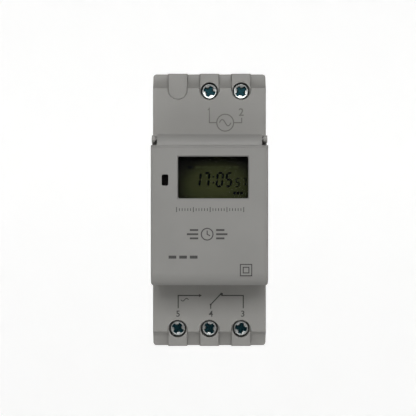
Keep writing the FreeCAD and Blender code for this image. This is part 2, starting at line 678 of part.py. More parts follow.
def flap_cover():
    """Hinged flap: skin with two windows, side and bottom walls, and pins in the housing's lugs."""
    x = -flap_half_w
    bottom_mid_depth = FLAP_DEPTH - FLAP_BOTTOM_R
    bottom_mid_z = -flap_top + FLAP_BOTTOM_R
    lean = math.sqrt(0.5)
    bottom_on_arc = vec(x, bottom_mid_depth + FLAP_BOTTOM_R * lean, bottom_mid_z - FLAP_BOTTOM_R * lean)
    ridge_foot = vec(x, FLAP_DEPTH, flap_top - STRIP_H - RIDGE_H - RIDGE_PROUD)
    ridge_low = vec(x, FLAP_DEPTH + RIDGE_PROUD, flap_top - STRIP_H - RIDGE_H)
    ridge_high = vec(x, FLAP_DEPTH + RIDGE_PROUD, flap_top - STRIP_H - RIDGE_PROUD)
    strip_start = vec(x, FLAP_DEPTH - STRIP_STEP, flap_top - STRIP_H + STRIP_STEP)
    strip_mid = vec(x, FLAP_DEPTH - STRIP_CROWN, flap_top - STRIP_H / 2)
    top = vec(x, hinge_depth, flap_top)
    barrel_on_arc = vec(x, hinge_depth - HINGE_DROP * lean, hinge_z + HINGE_DROP * lean)
    barrel_back = vec(x, hinge_depth - HINGE_DROP, hinge_z)
    heel = vec(x, hinge_depth - HINGE_DROP, notch_low)
    back_high = vec(x, flap_back, notch_low)
    back_low = vec(x, flap_back, -flap_top)
    bottom_start = vec(x, bottom_mid_depth, -flap_top)
    front_low = vec(x, FLAP_DEPTH, bottom_mid_z)
    edges = [
        Part.LineSegment(back_low, bottom_start).toShape(),
        Part.Arc(bottom_start, bottom_on_arc, front_low).toShape(),
        Part.LineSegment(front_low, ridge_foot).toShape(),
        Part.LineSegment(ridge_foot, ridge_low).toShape(),
        Part.LineSegment(ridge_low, ridge_high).toShape(),
        Part.LineSegment(ridge_high, strip_start).toShape(),
        Part.Arc(strip_start, strip_mid, top).toShape(),
        Part.Arc(top, barrel_on_arc, barrel_back).toShape(),
        Part.LineSegment(barrel_back, heel).toShape(),
        Part.LineSegment(heel, back_high).toShape(),
        Part.LineSegment(back_high, back_low).toShape(),
    ]
    flap = Part.Face(Part.Wire(edges)).extrude(FreeCAD.Vector(2 * flap_half_w, 0, 0))
    rim = []
    for edge in flap.Edges:
        middle = edge.CenterOfMass
        on_side = abs(abs(middle.x) - flap_half_w) < FLUSH
        in_front = -middle.y > bottom_mid_depth and middle.z < ridge_foot.z - FLUSH
        underneath = middle.z < -flap_top + FLUSH
        if on_side and (in_front or underneath):
            rim.append(edge)
    flap = flap.makeFillet(FLAP_SIDE_R, rim)
    hollow = block(-flap_inner_x, flap_inner_x, flap_back - CUT_OVER, FLAP_DEPTH - FLAP_SKIN,
                   -flap_top + FLAP_WALL, hinge_z - HINGE_DROP)
    cuts = [hollow]
    for side in (-1, 1):
        xs = sorted((side * notch_in, side * (flap_half_w + CUT_OVER)))
        cuts.append(block(xs[0], xs[1], flap_back - CUT_OVER, FLAP_DEPTH + CUT_OVER,
                          notch_low, flap_top + CUT_OVER))
    cuts.append(slab(WINDOW_X, WINDOW_Z, FLAP_WINDOW_W, FLAP_WINDOW_H, flap_back,
                     FLAP_DEPTH + CUT_OVER, CASE_EDGE_R))
    cuts.append(bevelled_mouth(WINDOW_X, WINDOW_Z, FLAP_WINDOW_W, FLAP_WINDOW_H))
    cuts.append(slab(LAMP_X, LAMP_Z, LAMP_HOLE_W, LAMP_HOLE_H, flap_back, FLAP_DEPTH + CUT_OVER, CASE_EDGE_R))
    flap = flap.cut(cuts)
    pins = []
    for side in (-1, 1):
        xs = sorted((side * (notch_in - CUT_OVER), side * (lug_out + HINGE_RUNNING)))
        pins.append(cross_rod(xs[0], xs[1], hinge_depth, hinge_z, HINGE_PIN_R))
    return joined([flap] + pins)


def bevelled_mouth(x_mid, z_mid, width, height):
    """The tapered ring that breaks the edge of the flap's window."""
    size = FLAP_WINDOW_CHAMFER
    wires = []
    for depth, grow in ((FLAP_DEPTH - size, 0), (FLAP_DEPTH, size)):
        x_half = width / 2 + grow
        z_half = height / 2 + grow
        corners = [
            vec(x_mid - x_half, depth, z_mid - z_half),
            vec(x_mid + x_half, depth, z_mid - z_half),
            vec(x_mid + x_half, depth, z_mid + z_half),
            vec(x_mid - x_half, depth, z_mid + z_half),
        ]
        wires.append(Part.makePolygon(corners + corners[:1]))
    return Part.makeLoft(wires, True, True)


def display_lens():
    """Clear window in the panel, with a flange behind it."""
    plug = slab(WINDOW_X, WINDOW_Z, lens_w - 2 * LENS_FIT, lens_h - 2 * LENS_FIT, lens_back,
                panel_depth - LENS_SINK, CASE_EDGE_R)
    half_x = lens_w / 2 + LENS_FLANGE
    half_z = lens_h / 2 + LENS_FLANGE
    flange = block(WINDOW_X - half_x, WINDOW_X + half_x, lens_back, panel_back,
                   WINDOW_Z - half_z, WINDOW_Z + half_z)
    return joined([plug, flange])


def lcd_holder():
    """Frame that seats the glass over the board."""
    outer_w = lcd_w + 2 * (HOLDER_WALL + HOLDER_FIT)
    outer_h = lcd_h + 2 * (HOLDER_WALL + HOLDER_FIT)
    outer = block(WINDOW_X - outer_w / 2, WINDOW_X + outer_w / 2, board_front, lcd_front + LCD_GAP / 2,
                  WINDOW_Z - outer_h / 2, WINDOW_Z + outer_h / 2)
    room = block(WINDOW_X - lcd_w / 2 - HOLDER_FIT, WINDOW_X + lcd_w / 2 + HOLDER_FIT, board_front,
                 lcd_front + LCD_GAP, WINDOW_Z - lcd_h / 2 - HOLDER_FIT, WINDOW_Z + lcd_h / 2 + HOLDER_FIT)
    return outer.cut(room)


def lcd_connector():
    """Two elastomer strips under the glass's long edges."""
    strips = []
    for side in (-1, 1):
        z = WINDOW_Z + side * (lcd_h / 2 - CONNECTOR_H)
        strips.append(block(WINDOW_X - CONNECTOR_W / 2, WINDOW_X + CONNECTOR_W / 2, board_front, lcd_back,
                            z - CONNECTOR_H / 2, z + CONNECTOR_H / 2))
    return Part.makeCompound(strips)


def status_lamp():
    """The light-emitting diode on the control board."""
    return slab(LAMP_X, LAMP_Z, LAMP_HOLE_W - LAMP_PIPE_FIT, LAMP_HOLE_H - LAMP_PIPE_FIT,
                board_front, panel_back - LAMP_PIPE_FIT, CASE_EDGE_R)


def lamp_pipe():
    """Smoked light pipe in the panel's small hole."""
    return slab(LAMP_X, LAMP_Z, LAMP_HOLE_W, LAMP_HOLE_H, panel_back, panel_depth - LENS_SINK, CASE_EDGE_R)


def key(column, row):
    """A key: rounded cap, flange behind the panel, and the stem that presses the mat."""
    x, z = key_place(column, row)
    cap = slab(x, z, KEY_W, KEY_H, key_flange_back, key_top_depth, KEY_CORNER_R)
    crown = []
    for edge in cap.Edges:
        if abs(edge.CenterOfMass.y + key_top_depth) < FLUSH:
            crown.append(edge)
    cap = cap.makeFillet(KEY_PROUD / 2, crown)
    flange = slab(x, z, KEY_W + 2 * KEY_FLANGE, KEY_H + 2 * KEY_FLANGE, key_flange_back, key_flange_front,
                  KEY_CORNER_R)
    stem = rod(x, z, KEY_STEM_R, dome_depth + DOME_GAP, key_flange_back)
    return joined([cap, flange, stem])


def keypad_mat():
    """Silicone sheet with a dome under each key."""
    places = [key_place(column, row) for name, column, row in KEYS]
    reach_x = KEY_W / 2 + MAT_MARGIN
    reach_z = KEY_H / 2 + MAT_MARGIN
    x_low = min(x for x, z in places) - reach_x
    x_high = max(x for x, z in places) + reach_x
    z_low = min(z for x, z in places) - reach_z
    z_high = max(z for x, z in places) + reach_z
    sheet = block(x_low, x_high, board_front, mat_front, z_low, z_high)
    domes = []
    for x, z in places:
        foot = vec(x, mat_front, z)
        domes.append(Part.makeCone(DOME_R, KEY_STEM_R, DOME_H, foot, FreeCAD.Vector(0, -1, 0)))
    return joined([sheet] + domes)


def control_board():
    """Board in the nose that carries the display, keys, clock and lamp."""
    board = block(-board_half_w, board_half_w, board_back, board_front, -board_half_h, board_half_h)
    holes = []
    for x_side in (-1, 1):
        for z in (BOARD_SCREW_LOW_Z, BOARD_SCREW_HIGH_Z):
            holes.append(rod(x_side * BOARD_SCREW_X, z, BOARD_SCREW_R + BOARD_SCREW_FIT,
                             board_back, board_front))
    return board.cut(holes)


def board_screws():
    """Four small screws from the back of the control board into the bosses."""
    screws = []
    for x_side in (-1, 1):
        for z in (BOARD_SCREW_LOW_Z, BOARD_SCREW_HIGH_Z):
            x = x_side * BOARD_SCREW_X
            shank = rod(x, z, BOARD_SCREW_R, board_back, board_front + BOARD_SCREW_GRIP)
            head = rod(x, z, BOARD_SCREW_HEAD_R, board_back - BOARD_SCREW_HEAD_T, board_back)
            slot = block(x - BOARD_SCREW_HEAD_R, x + BOARD_SCREW_HEAD_R, board_back - BOARD_SCREW_HEAD_T,
                         board_back - BOARD_SCREW_HEAD_T / 2, z - SCREW_SLOT_W / 4, z + SCREW_SLOT_W / 4)
            screws.append(joined([shank, head]).cut(slot))
    return Part.makeCompound(screws)


def controller_chip():
    """Square chip on the back of the control board, with its feet as a thin skirt."""
    z = WINDOW_Z
    body = block(-CHIP_SIZE / 2, CHIP_SIZE / 2, board_back - CHIP_T, board_back - CHIP_T / 4,
                 z - CHIP_SIZE / 2, z + CHIP_SIZE / 2)
    reach = CHIP_SIZE / 2 + CHIP_FEET
    feet = block(-reach, reach, board_back - CHIP_T / 4, board_back, z - reach, z + reach)
    return joined([body, feet])


def clock_crystal():
    """Small can that times the clock."""
    x = -CHIP_SIZE / 2 - CHIP_FEET - CRYSTAL_GAP - CRYSTAL_W / 2
    return slab(x, WINDOW_Z, CRYSTAL_W, CRYSTAL_L, board_back - CRYSTAL_T, board_back, CRYSTAL_CORNER_R)


def backup_battery():
    """Coin cell under the control board."""
    return rod(0, CELL_Z, CELL_R, board_back - 2 * CLIP_T - CELL_T, board_back - 2 * CLIP_T)


def battery_clip():
    """Sprung metal strap round the coin cell."""
    reach = CELL_R + 2 * CLIP_T
    back = board_back - 4 * CLIP_T - CELL_T
    outer = block(-reach, reach, back, board_back, CELL_Z - CLIP_W / 2, CELL_Z + CLIP_W / 2)
    inner = block(-reach + CLIP_T, reach - CLIP_T, back + CLIP_T, board_back - CLIP_T,
                  CELL_Z - CLIP_W / 2, CELL_Z + CLIP_W / 2)
    return outer.cut(inner)


def control_parts():
    """Columns of small resistors and capacitors along both sides of the control board's back."""
    bits = []
    for side in (-1, 1):
        x = side * SMALL_PART_X
        for row in range(SMALL_PART_COUNT):
            z = (row - (SMALL_PART_COUNT - 1) / 2) * SMALL_PART_STEP
            bits.append(block(x - SMALL_PART_L / 2, x + SMALL_PART_L / 2, board_back - SMALL_PART_T,
                              board_back, z - SMALL_PART_T / 2, z + SMALL_PART_T / 2))
    return Part.makeCompound(bits)


def ribbon_cable():
    """Flat lead between the two boards."""
    return block(RIBBON_X - RIBBON_W / 2, RIBBON_X + RIBBON_W / 2, POWER_BOARD_DEPTH + SOCKET_L,
                 board_back - SOCKET_L, RIBBON_Z - RIBBON_T / 2, RIBBON_Z + RIBBON_T / 2)


def ribbon_sockets():
    """The socket at each end of the ribbon."""
    half_x = RIBBON_W / 2 + SOCKET_MARGIN
    half_z = RIBBON_T / 2 + SOCKET_MARGIN
    low = block(RIBBON_X - half_x, RIBBON_X + half_x, POWER_BOARD_DEPTH, POWER_BOARD_DEPTH + SOCKET_L,
                RIBBON_Z - half_z, RIBBON_Z + half_z)
    high = block(RIBBON_X - half_x, RIBBON_X + half_x, board_back - SOCKET_L, board_back,
                 RIBBON_Z - half_z, RIBBON_Z + half_z)
    return Part.makeCompound([low, high])


def power_board():
    """Board in the rear base that carries the relay, the supply and the terminal bars."""
    half_x = inner_x - SNAP_FIT - SNAP_T - BOARD_PLAY
    half_z = inner_z - BOARD_PLAY
    return block(-half_x, half_x, power_board_back, POWER_BOARD_DEPTH, -half_z, half_z)


relay_mid_x = RELAY_LEFT + RELAY_W / 2
relay_front = POWER_BOARD_DEPTH + RELAY_H
relay_floor = POWER_BOARD_DEPTH + RELAY_BASE_T
coil_z = RELAY_LOW + RELAY_SKIN + COIL_MARGIN + COIL_R
coil_front = relay_floor + YOKE_T + COIL_L
yoke_z = coil_z + COIL_R + COIL_TO_YOKE
yoke_half_w = COIL_R - YOKE_INSET
armature_back = coil_front + POLE_GAP
contact_z = RELAY_LOW + RELAY_L - RELAY_SKIN - COIL_MARGIN - CONTACT_R


def relay_base():
    """Plate under the relay."""
    return block(RELAY_LEFT, RELAY_LEFT + RELAY_W, POWER_BOARD_DEPTH, relay_floor,
                 RELAY_LOW, RELAY_LOW + RELAY_L)


def relay_cover():
    """Five-sided cap over the relay."""
    outer = slab(relay_mid_x, RELAY_LOW + RELAY_L / 2, RELAY_W, RELAY_L, relay_floor, relay_front,
                 CASE_EDGE_R)
    inner = block(RELAY_LEFT + RELAY_SKIN, RELAY_LEFT + RELAY_W - RELAY_SKIN, relay_floor,
                  relay_front - RELAY_SKIN, RELAY_LOW + RELAY_SKIN, RELAY_LOW + RELAY_L - RELAY_SKIN)
    return outer.cut(inner)


def relay_coil():
    """Bobbin with its winding and the round hole for the core."""
    low = relay_floor + YOKE_T
    high = coil_front - COIL_CORE_PROUD
    winding = rod(relay_mid_x, coil_z, COIL_R - COIL_FLANGE_RISE, low, high)
    lower = rod(relay_mid_x, coil_z, COIL_R, low, low + COIL_FLANGE_T)
    upper = rod(relay_mid_x, coil_z, COIL_R, high - COIL_FLANGE_T, high)
    core = rod(relay_mid_x, coil_z, COIL_CORE_R, low, coil_front)
    return joined([winding, lower, upper]).cut(core)


def relay_yoke():
    """Iron core, foot and upright of the relay's magnet."""
    core = rod(relay_mid_x, coil_z, COIL_CORE_R, relay_floor + YOKE_T / 2, coil_front)
    foot = block(relay_mid_x - yoke_half_w, relay_mid_x + yoke_half_w, relay_floor, relay_floor + YOKE_T,
                 coil_z - yoke_half_w, yoke_z + YOKE_T)
    upright = block(relay_mid_x - yoke_half_w, relay_mid_x + yoke_half_w, relay_floor,
                    armature_back - ARMATURE_GAP, yoke_z, yoke_z + YOKE_T)
    return joined([core, foot, upright])


def relay_armature():
    """Plate that rocks on the yoke, with the arm and rivet that carry the moving contact."""
    plate = block(relay_mid_x - yoke_half_w, relay_mid_x + yoke_half_w, armature_back,
                  armature_back + ARMATURE_T, coil_z - COIL_CORE_R - YOKE_INSET, yoke_z + YOKE_T)
    arm = block(relay_mid_x - yoke_half_w / 2, relay_mid_x + yoke_half_w / 2, armature_back + ARMATURE_T / 4,
                armature_back + 3 * ARMATURE_T / 4, yoke_z, contact_z + CONTACT_R)
    rivet = rod(relay_mid_x, contact_z, CONTACT_R, armature_back + ARMATURE_T / 4 - CONTACT_T,
                armature_back + 3 * ARMATURE_T / 4 + CONTACT_T)
    return joined([plate, arm, rivet])


def relay_contacts():
    """Rest contact behind the moving rivet and working contact in front of it."""
    back_face = armature_back + ARMATURE_T / 4 - CONTACT_T - CONTACT_REST
    front_face = armature_back + 3 * ARMATURE_T / 4 + CONTACT_T + CONTACT_OPEN
    x_low = relay_mid_x - CONTACT_BLADE_W / 2
    x_high = relay_mid_x + CONTACT_BLADE_W / 2
    blade_low = contact_z - CONTACT_R
    blade_high = contact_z + CONTACT_R
    leg_z = blade_high + CONTACT_LEG_GAP
    rest_rivet = rod(relay_mid_x, contact_z, CONTACT_R, back_face - CONTACT_T, back_face)
    rest_blade = block(x_low, x_high, back_face - CONTACT_T - CONTACT_BLADE_T, back_face - CONTACT_T,
                       blade_low, blade_high)
    rest_leg = block(x_low, x_high, relay_floor, back_face - CONTACT_T,
                     blade_low - CONTACT_BLADE_T, blade_low)
    work_rivet = rod(relay_mid_x, contact_z, CONTACT_R, front_face, front_face + CONTACT_T)
    work_blade = block(x_low, x_high, front_face + CONTACT_T, front_face + CONTACT_T + CONTACT_BLADE_T,
                       blade_low, leg_z)
    work_leg = block(x_low, x_high, relay_floor, front_face + CONTACT_T + CONTACT_BLADE_T,
                     leg_z, leg_z + CONTACT_BLADE_T)
    rest = joined([rest_rivet, rest_blade, rest_leg])
    work = joined([work_rivet, work_blade, work_leg])
    return Part.makeCompound([rest, work])


def dropper_capacitor():
    """Film capacitor that drops the mains for the supply."""
    box = block(DROPPER_X - DROPPER_W / 2, DROPPER_X + DROPPER_W / 2, POWER_BOARD_DEPTH,
                POWER_BOARD_DEPTH + DROPPER_H, DROPPER_Z - DROPPER_L / 2, DROPPER_Z + DROPPER_L / 2)
    front_rim = []
    for edge in box.Edges:
        if abs(edge.CenterOfMass.y + POWER_BOARD_DEPTH + DROPPER_H) < FLUSH:
            front_rim.append(edge)
    return box.makeFillet(CASE_EDGE_R, front_rim)


def smoothing_capacitors():
    """Two electrolytic cans."""
    cans = []
    for x, z, radius, height in SMOOTHING:
        can = rod(x, z, radius, POWER_BOARD_DEPTH, POWER_BOARD_DEPTH + height)
        rim = []
        for edge in can.Edges:
            if abs(edge.CenterOfMass.y + POWER_BOARD_DEPTH + height) < FLUSH:
                rim.append(edge)
        cans.append(can.makeFillet(CASE_EDGE_R, rim))
    return Part.makeCompound(cans)


def surge_varistor():
    """Disc across the supply terminals."""
    mid = POWER_BOARD_DEPTH + LEAD_GAP + VARISTOR_R
    disc = upright_rod(VARISTOR_X, mid, varistor_z - VARISTOR_T / 2, varistor_z + VARISTOR_T / 2, VARISTOR_R)
    rounded = disc.makeFillet(VARISTOR_T / 3, [edge for edge in disc.Edges if len(edge.Vertexes) == 1])
    leads = []
    for side in (-1, 1):
        leads.append(rod(VARISTOR_X + side * VARISTOR_R / 2, varistor_z, LEAD_GAP, POWER_BOARD_DEPTH, mid))
    return joined([rounded] + leads)


def power_resistors():
    """Two leaded resistors that lie along Z."""
    resistors = []
    for x, z in RESISTORS:
        mid = POWER_BOARD_DEPTH + LEAD_GAP + RESISTOR_R
        body = upright_rod(x, mid, z - RESISTOR_L / 2, z + RESISTOR_L / 2, RESISTOR_R)
        reach = RESISTOR_L / 2 + RESISTOR_WIRE
        wire = upright_rod(x, mid, z - reach, z + reach, LEAD_GAP)
        legs = [rod(x, z + side * (reach - LEAD_GAP), LEAD_GAP, POWER_BOARD_DEPTH, mid) for side in (-1, 1)]
        resistors.append(joined([body, wire] + legs))
    return Part.makeCompound(resistors)


def rectifier_diodes():
    """Four diodes in a column."""
    diodes = []
    for z in DIODE_ZS:
        mid = POWER_BOARD_DEPTH + LEAD_GAP + DIODE_R
        body = cross_rod(DIODE_X - DIODE_L / 2 + LEAD_GAP, DIODE_X + DIODE_L / 2 - LEAD_GAP, mid, z, DIODE_R)
        legs = [rod(DIODE_X + side * (DIODE_L / 2 - LEAD_GAP), z, LEAD_GAP / 2, POWER_BOARD_DEPTH, mid)
                for side in (-1, 1)]
        diodes.append(joined([body] + legs))
    return Part.makeCompound(diodes)


def terminal_screw(column, side):
    """Clamp screw with a combined slot and cross in its head."""
    x = terminal_x(column)
    z = side * terminal_z
    head = rod(x, z, SCREW_HEAD_R, head_back, head_front)
    rim = []
    for edge in head.Edges:
        if abs(edge.CenterOfMass.y + head_front) < FLUSH:
            rim.append(edge)
    head = head.makeFillet(HEAD_EDGE_R, rim)
    shank = rod(x, z, SCREW_R, bar_front + SCREW_TIP_GAP, head_back)
    recess_back = head_front - SCREW_RECESS
    half_slot = SCREW_SLOT_W / 2
    cuts = [
        block(x - SCREW_CROSS, x + SCREW_CROSS, recess_back, head_front, z - half_slot, z + half_slot),
        block(x - half_slot, x + half_slot, recess_back, head_front, z - SCREW_CROSS, z + SCREW_CROSS),
        block(x - SCREW_HEAD_R, x + SCREW_HEAD_R, head_front - SCREW_RECESS / 2, head_front,
              z - half_slot, z + half_slot),
        Part.makeCone(0, half_slot * 2, SCREW_RECESS, vec(x, recess_back, z), FreeCAD.Vector(0, -1, 0)),
    ]
    return joined([head, shank]).cut(cuts)


def clamp_cage(column, side):
    """Rectangular ring that the screw draws forwards to grip the wire under the bar."""
    x = terminal_x(column)
    run_low = terminal_z - CAGE_LENGTH / 2
    run_high = terminal_z + CAGE_LENGTH / 2
    outer = end_block(x - cage_half_w, x + cage_half_w, cage_back, cage_front, run_low, run_high, side)
    window = end_block(x - WIRE_W / 2, x + WIRE_W / 2, cage_window_back, cage_window_front,
                       run_low, run_high, side)
    thread = rod(x, side * terminal_z, SCREW_R + THREAD_FIT, cage_window_front, cage_front)
    ring = outer.cut([window, thread])
    return ring


def terminal_bar(column, side):
    """Angled strip from inside the cage to the power board."""
    x = terminal_x(column)
    leg_run = terminal_z - BAR_RUN
    tongue = end_block(x - bar_half_w, x + bar_half_w, bar_back, bar_front, leg_run,
                       terminal_z + CAGE_LENGTH / 2, side)
    leg = end_block(x - bar_half_w, x + bar_half_w, POWER_BOARD_DEPTH, bar_front,
                    leg_run, leg_run + BAR_T, side)
    return joined([tongue, leg])


def rail_latch():
    """Sliding hook under the rail, with a window for its spring and a slotted pull tab."""
    points = [
        vec(-latch_half_w, latch_front, latch_end),
        vec(-latch_half_w, latch_front, latch_tip),
        vec(-latch_half_w, latch_back + HOOK_LEAD, latch_tip),
        vec(-latch_half_w, latch_back, latch_tip - HOOK_LEAD),
        vec(-latch_half_w, latch_back, latch_end),
    ]
    plate = Part.Face(Part.makePolygon(points + points[:1])).extrude(FreeCAD.Vector(LATCH_W, 0, 0))
    half_window = SPRING_WINDOW_W / 2
    window = block(-half_window, half_window, latch_back, latch_front, peg_low - PEG_FIT, spring_top)
    slot_z = latch_end + LATCH_TAB / 2
    slot = block(-LATCH_SLOT_W / 2, LATCH_SLOT_W / 2, latch_back, latch_front,
                 slot_z - LATCH_SLOT_H / 2, slot_z + LATCH_SLOT_H / 2)
    return plate.cut([window, slot])


def latch_spring():
    """Compression spring between the base's peg and the top of the latch's window."""
    play = SPRING_WIRE_R * 2
    height = SPRING_L - 2 * play
    turn = height / SPRING_TURNS
    helix = Part.makeHelix(turn, height, SPRING_R)
    start = FreeCAD.Vector(SPRING_R, 0, 0)
    section = Part.Wire(Part.makeCircle(SPRING_WIRE_R, start, FreeCAD.Vector(0, 1, 0)))
    coil = Part.Wire(helix).makePipeShell([section], True, True)
    middle_depth = (latch_front + latch_back) / 2
    coil.translate(vec(0, middle_depth, spring_low + play))
    return coil


def side_label():
    """Blank rating label in a shallow recess on the left side of the housing."""
    floor = LABEL_SINK + LABEL_T - half_w
    return block(floor - LABEL_T, floor, LABEL_LOW_DEPTH, LABEL_HIGH_DEPTH, -LABEL_H / 2, LABEL_H / 2)


os.makedirs("parts", exist_ok=True)
save("rear_base", rear_base())
save("front_housing", front_housing())
save("flap_cover", flap_cover())
save("display_lens", display_lens())
save("lamp_pipe", lamp_pipe())
save("status_lamp", status_lamp())
for key_name, key_column, key_row in KEYS:
    save(key_name, key(key_column, key_row))
save("keypad_mat", keypad_mat())
save("lcd_panel", block(WINDOW_X - lcd_w / 2, WINDOW_X + lcd_w / 2, lcd_back, lcd_front,
                        WINDOW_Z - lcd_h / 2, WINDOW_Z + lcd_h / 2))
save("lcd_holder", lcd_holder())
save("lcd_connector", lcd_connector())
save("control_board", control_board())
save("board_screws", board_screws())
save("controller_chip", controller_chip())
save("clock_crystal", clock_crystal())
save("backup_battery", backup_battery())
save("battery_clip", battery_clip())
save("control_parts", control_parts())
save("ribbon_cable", ribbon_cable())
save("ribbon_sockets", ribbon_sockets())
save("power_board", power_board())
save("relay_base", relay_base())
save("relay_cover", relay_cover())
save("relay_coil", relay_coil())
save("relay_yoke", relay_yoke())
save("relay_armature", relay_armature())
save("relay_contacts", relay_contacts())
save("dropper_capacitor", dropper_capacitor())
save("smoothing_capacitors", smoothing_capacitors())
save("surge_varistor", surge_varistor())
save("power_resistors", power_resistors())
save("rectifier_diodes", rectifier_diodes())
for terminal_number, terminal_column, terminal_side in TERMINALS:
    label = str(terminal_number)
    save("terminal_screw_" + label, terminal_screw(terminal_column, terminal_side))
    save("clamp_cage_" + label, clamp_cage(terminal_column, terminal_side))
    save("terminal_bar_" + label, terminal_bar(terminal_column, terminal_side))
save("rail_latch", rail_latch())
save("latch_spring", latch_spring())
save("side_label", side_label())
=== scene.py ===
"""Looks of a two-module digital time switch for a 35 mm rail.

Every place comes from the frame: +X to the right and +Z up as the front is looked at, front towards -Y,
in metres. MM turns the millimetres that sizes are written in into metres.
"""
import json
import math

import bpy
import numpy as np
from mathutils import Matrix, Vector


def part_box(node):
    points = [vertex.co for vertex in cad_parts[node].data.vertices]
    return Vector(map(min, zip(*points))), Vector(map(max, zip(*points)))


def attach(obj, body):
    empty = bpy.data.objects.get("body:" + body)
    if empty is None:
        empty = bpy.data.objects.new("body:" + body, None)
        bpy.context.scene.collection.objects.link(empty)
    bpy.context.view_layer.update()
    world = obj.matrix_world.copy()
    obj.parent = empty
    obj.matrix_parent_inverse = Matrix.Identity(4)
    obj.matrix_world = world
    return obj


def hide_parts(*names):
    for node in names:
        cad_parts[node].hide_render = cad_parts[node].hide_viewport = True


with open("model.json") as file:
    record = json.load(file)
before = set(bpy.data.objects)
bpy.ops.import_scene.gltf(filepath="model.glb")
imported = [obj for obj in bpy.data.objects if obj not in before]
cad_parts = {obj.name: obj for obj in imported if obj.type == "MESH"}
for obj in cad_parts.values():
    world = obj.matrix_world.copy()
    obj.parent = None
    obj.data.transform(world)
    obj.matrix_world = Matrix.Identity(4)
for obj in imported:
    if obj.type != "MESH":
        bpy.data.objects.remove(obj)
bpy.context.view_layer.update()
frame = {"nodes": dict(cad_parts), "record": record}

MM = 0.001
PRINT_T = 0.03 * MM          # thickness of printed marks
LINE_W = 0.33 * MM           # width of printed lines

# ---- Places taken from the frame ----
flap_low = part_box("flap_cover")[0]
lcd_low, lcd_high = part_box("lcd_panel")
label_low, label_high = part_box("side_label")
FLAP_RIDGE = 0.12 * MM
SHOULDER_DEPTH = 40.0 * MM
flap_face = flap_low.y + FLAP_RIDGE
shoulder_face = -SHOULDER_DEPTH
lcd_face = lcd_low.y


# ======================================================================
# Mesh making
# ======================================================================

def outward(vertices, faces):
    """Faces turned so that the closed shape's volume, summed over its triangle fans, is positive."""
    volume = 0.0
    for face in faces:
        corner = vertices[face[0]]
        for second, third in zip(face[1:-1], face[2:]):
            volume += float(np.dot(corner, np.cross(vertices[second], vertices[third])))
    if volume < 0:
        return [tuple(reversed(face)) for face in faces]
    return faces


def row_quads(rows, columns):
    """Vertex numbers of a grid whose columns close on themselves, and the faces between its rows."""
    index = np.arange(rows * columns).reshape(rows, columns)
    after = np.roll(index, -1, axis=1)
    quads = np.stack([index[:-1], after[:-1], after[1:], index[1:]], axis=-1).reshape(-1, 4)
    return index, [tuple(quad) for quad in quads.tolist()]


def around_grid(grid):
    """Faces of a grid whose columns close on themselves, with a flat cap on each end row."""
    index, faces = row_quads(*grid.shape[:2])
    faces.append(tuple(reversed(index[0].tolist())))
    faces.append(tuple(index[-1].tolist()))
    vertices = grid.reshape(-1, 3)
    return vertices, outward(vertices, faces)


def carried_bar(points, width, face, thickness=PRINT_T, closed=False):
    """A rectangle carried along a path on a face that looks towards -Y.

    At each point the rectangle's corners are the point plus or minus half the width along the path's
    normal, on the face and one thickness in front of it; the normal is the mean of its two runs'.
    """
    path = np.asarray(points, float)
    ahead = np.roll(path, -1, axis=0) - path
    behind = path - np.roll(path, 1, axis=0)
    if not closed:
        ahead[-1] = behind[-1]
        behind[0] = ahead[0]
    ahead /= np.linalg.norm(ahead, axis=1)[:, None]
    behind /= np.linalg.norm(behind, axis=1)[:, None]
    along = ahead + behind
    along /= np.linalg.norm(along, axis=1)[:, None]
    stretch = 1 / np.maximum(np.sum(along * ahead, axis=1), 0.5)
    normal = np.stack([-along[:, 1], along[:, 0]], axis=1) * (width / 2 * stretch)[:, None]
    corners = []
    for side, front in ((-1, 0), (-1, 1), (1, 1), (1, 0)):
        flat = path + side * normal
        depth = np.full(len(path), face - front * thickness)
        corners.append(np.stack([flat[:, 0], depth, flat[:, 1]], axis=1))
    grid = np.stack(corners, axis=1)
    if closed:
        ring = np.swapaxes(grid, 0, 1)
        index = np.arange(ring.shape[0] * ring.shape[1]).reshape(ring.shape[:2])
        below = np.roll(index, -1, axis=0)
        after = np.roll(index, -1, axis=1)
        after_below = np.roll(below, -1, axis=1)
        quads = np.stack([index, after, after_below, below], axis=-1).reshape(-1, 4)
        vertices = ring.reshape(-1, 3)
        return vertices, outward(vertices, [tuple(quad) for quad in quads.tolist()])
    return around_grid(grid)


def plate(outline, face, thickness=PRINT_T):
    """A flat plate: its outline on the face, and the same outline one thickness in front of it."""
    flat = np.asarray(outline, float)
    back = np.stack([flat[:, 0], np.full(len(flat), face), flat[:, 1]], axis=1)
    front = back - np.array([0.0, thickness, 0.0])
    return around_grid(np.stack([back, front]))


def circle_path(x, z, radius, count=48):
    """Points at equal angles round a circle."""
    turn = np.linspace(0, 2 * math.pi, count, endpoint=False)
    return np.stack([x + radius * np.cos(turn), z + radius * np.sin(turn)], axis=1)


def joined_mesh(name, parts):
    """One mesh from several closed shapes."""
    vertices = []
    faces = []
    start = 0
    for part_vertices, part_faces in parts:
        vertices.append(part_vertices)
        faces.extend(tuple(start + corner for corner in face) for face in part_faces)
        start += len(part_vertices)
    mesh = bpy.data.meshes.new(name)
    mesh.from_pydata(np.concatenate(vertices).tolist(), [], faces)
    mesh.update()
    return mesh


def new_piece(name, parts, material, body, smooth=False):
    """A finished piece at the origin that rides on a body."""
    mesh = joined_mesh(name, parts)
    if smooth:
        mesh.shade_smooth()
        mesh.set_sharp_from_angle(angle=math.radians(35))
    piece = bpy.data.objects.new(name, mesh)
    bpy.context.scene.collection.objects.link(piece)
    mesh.materials.append(material)
    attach(piece, body)
    return piece


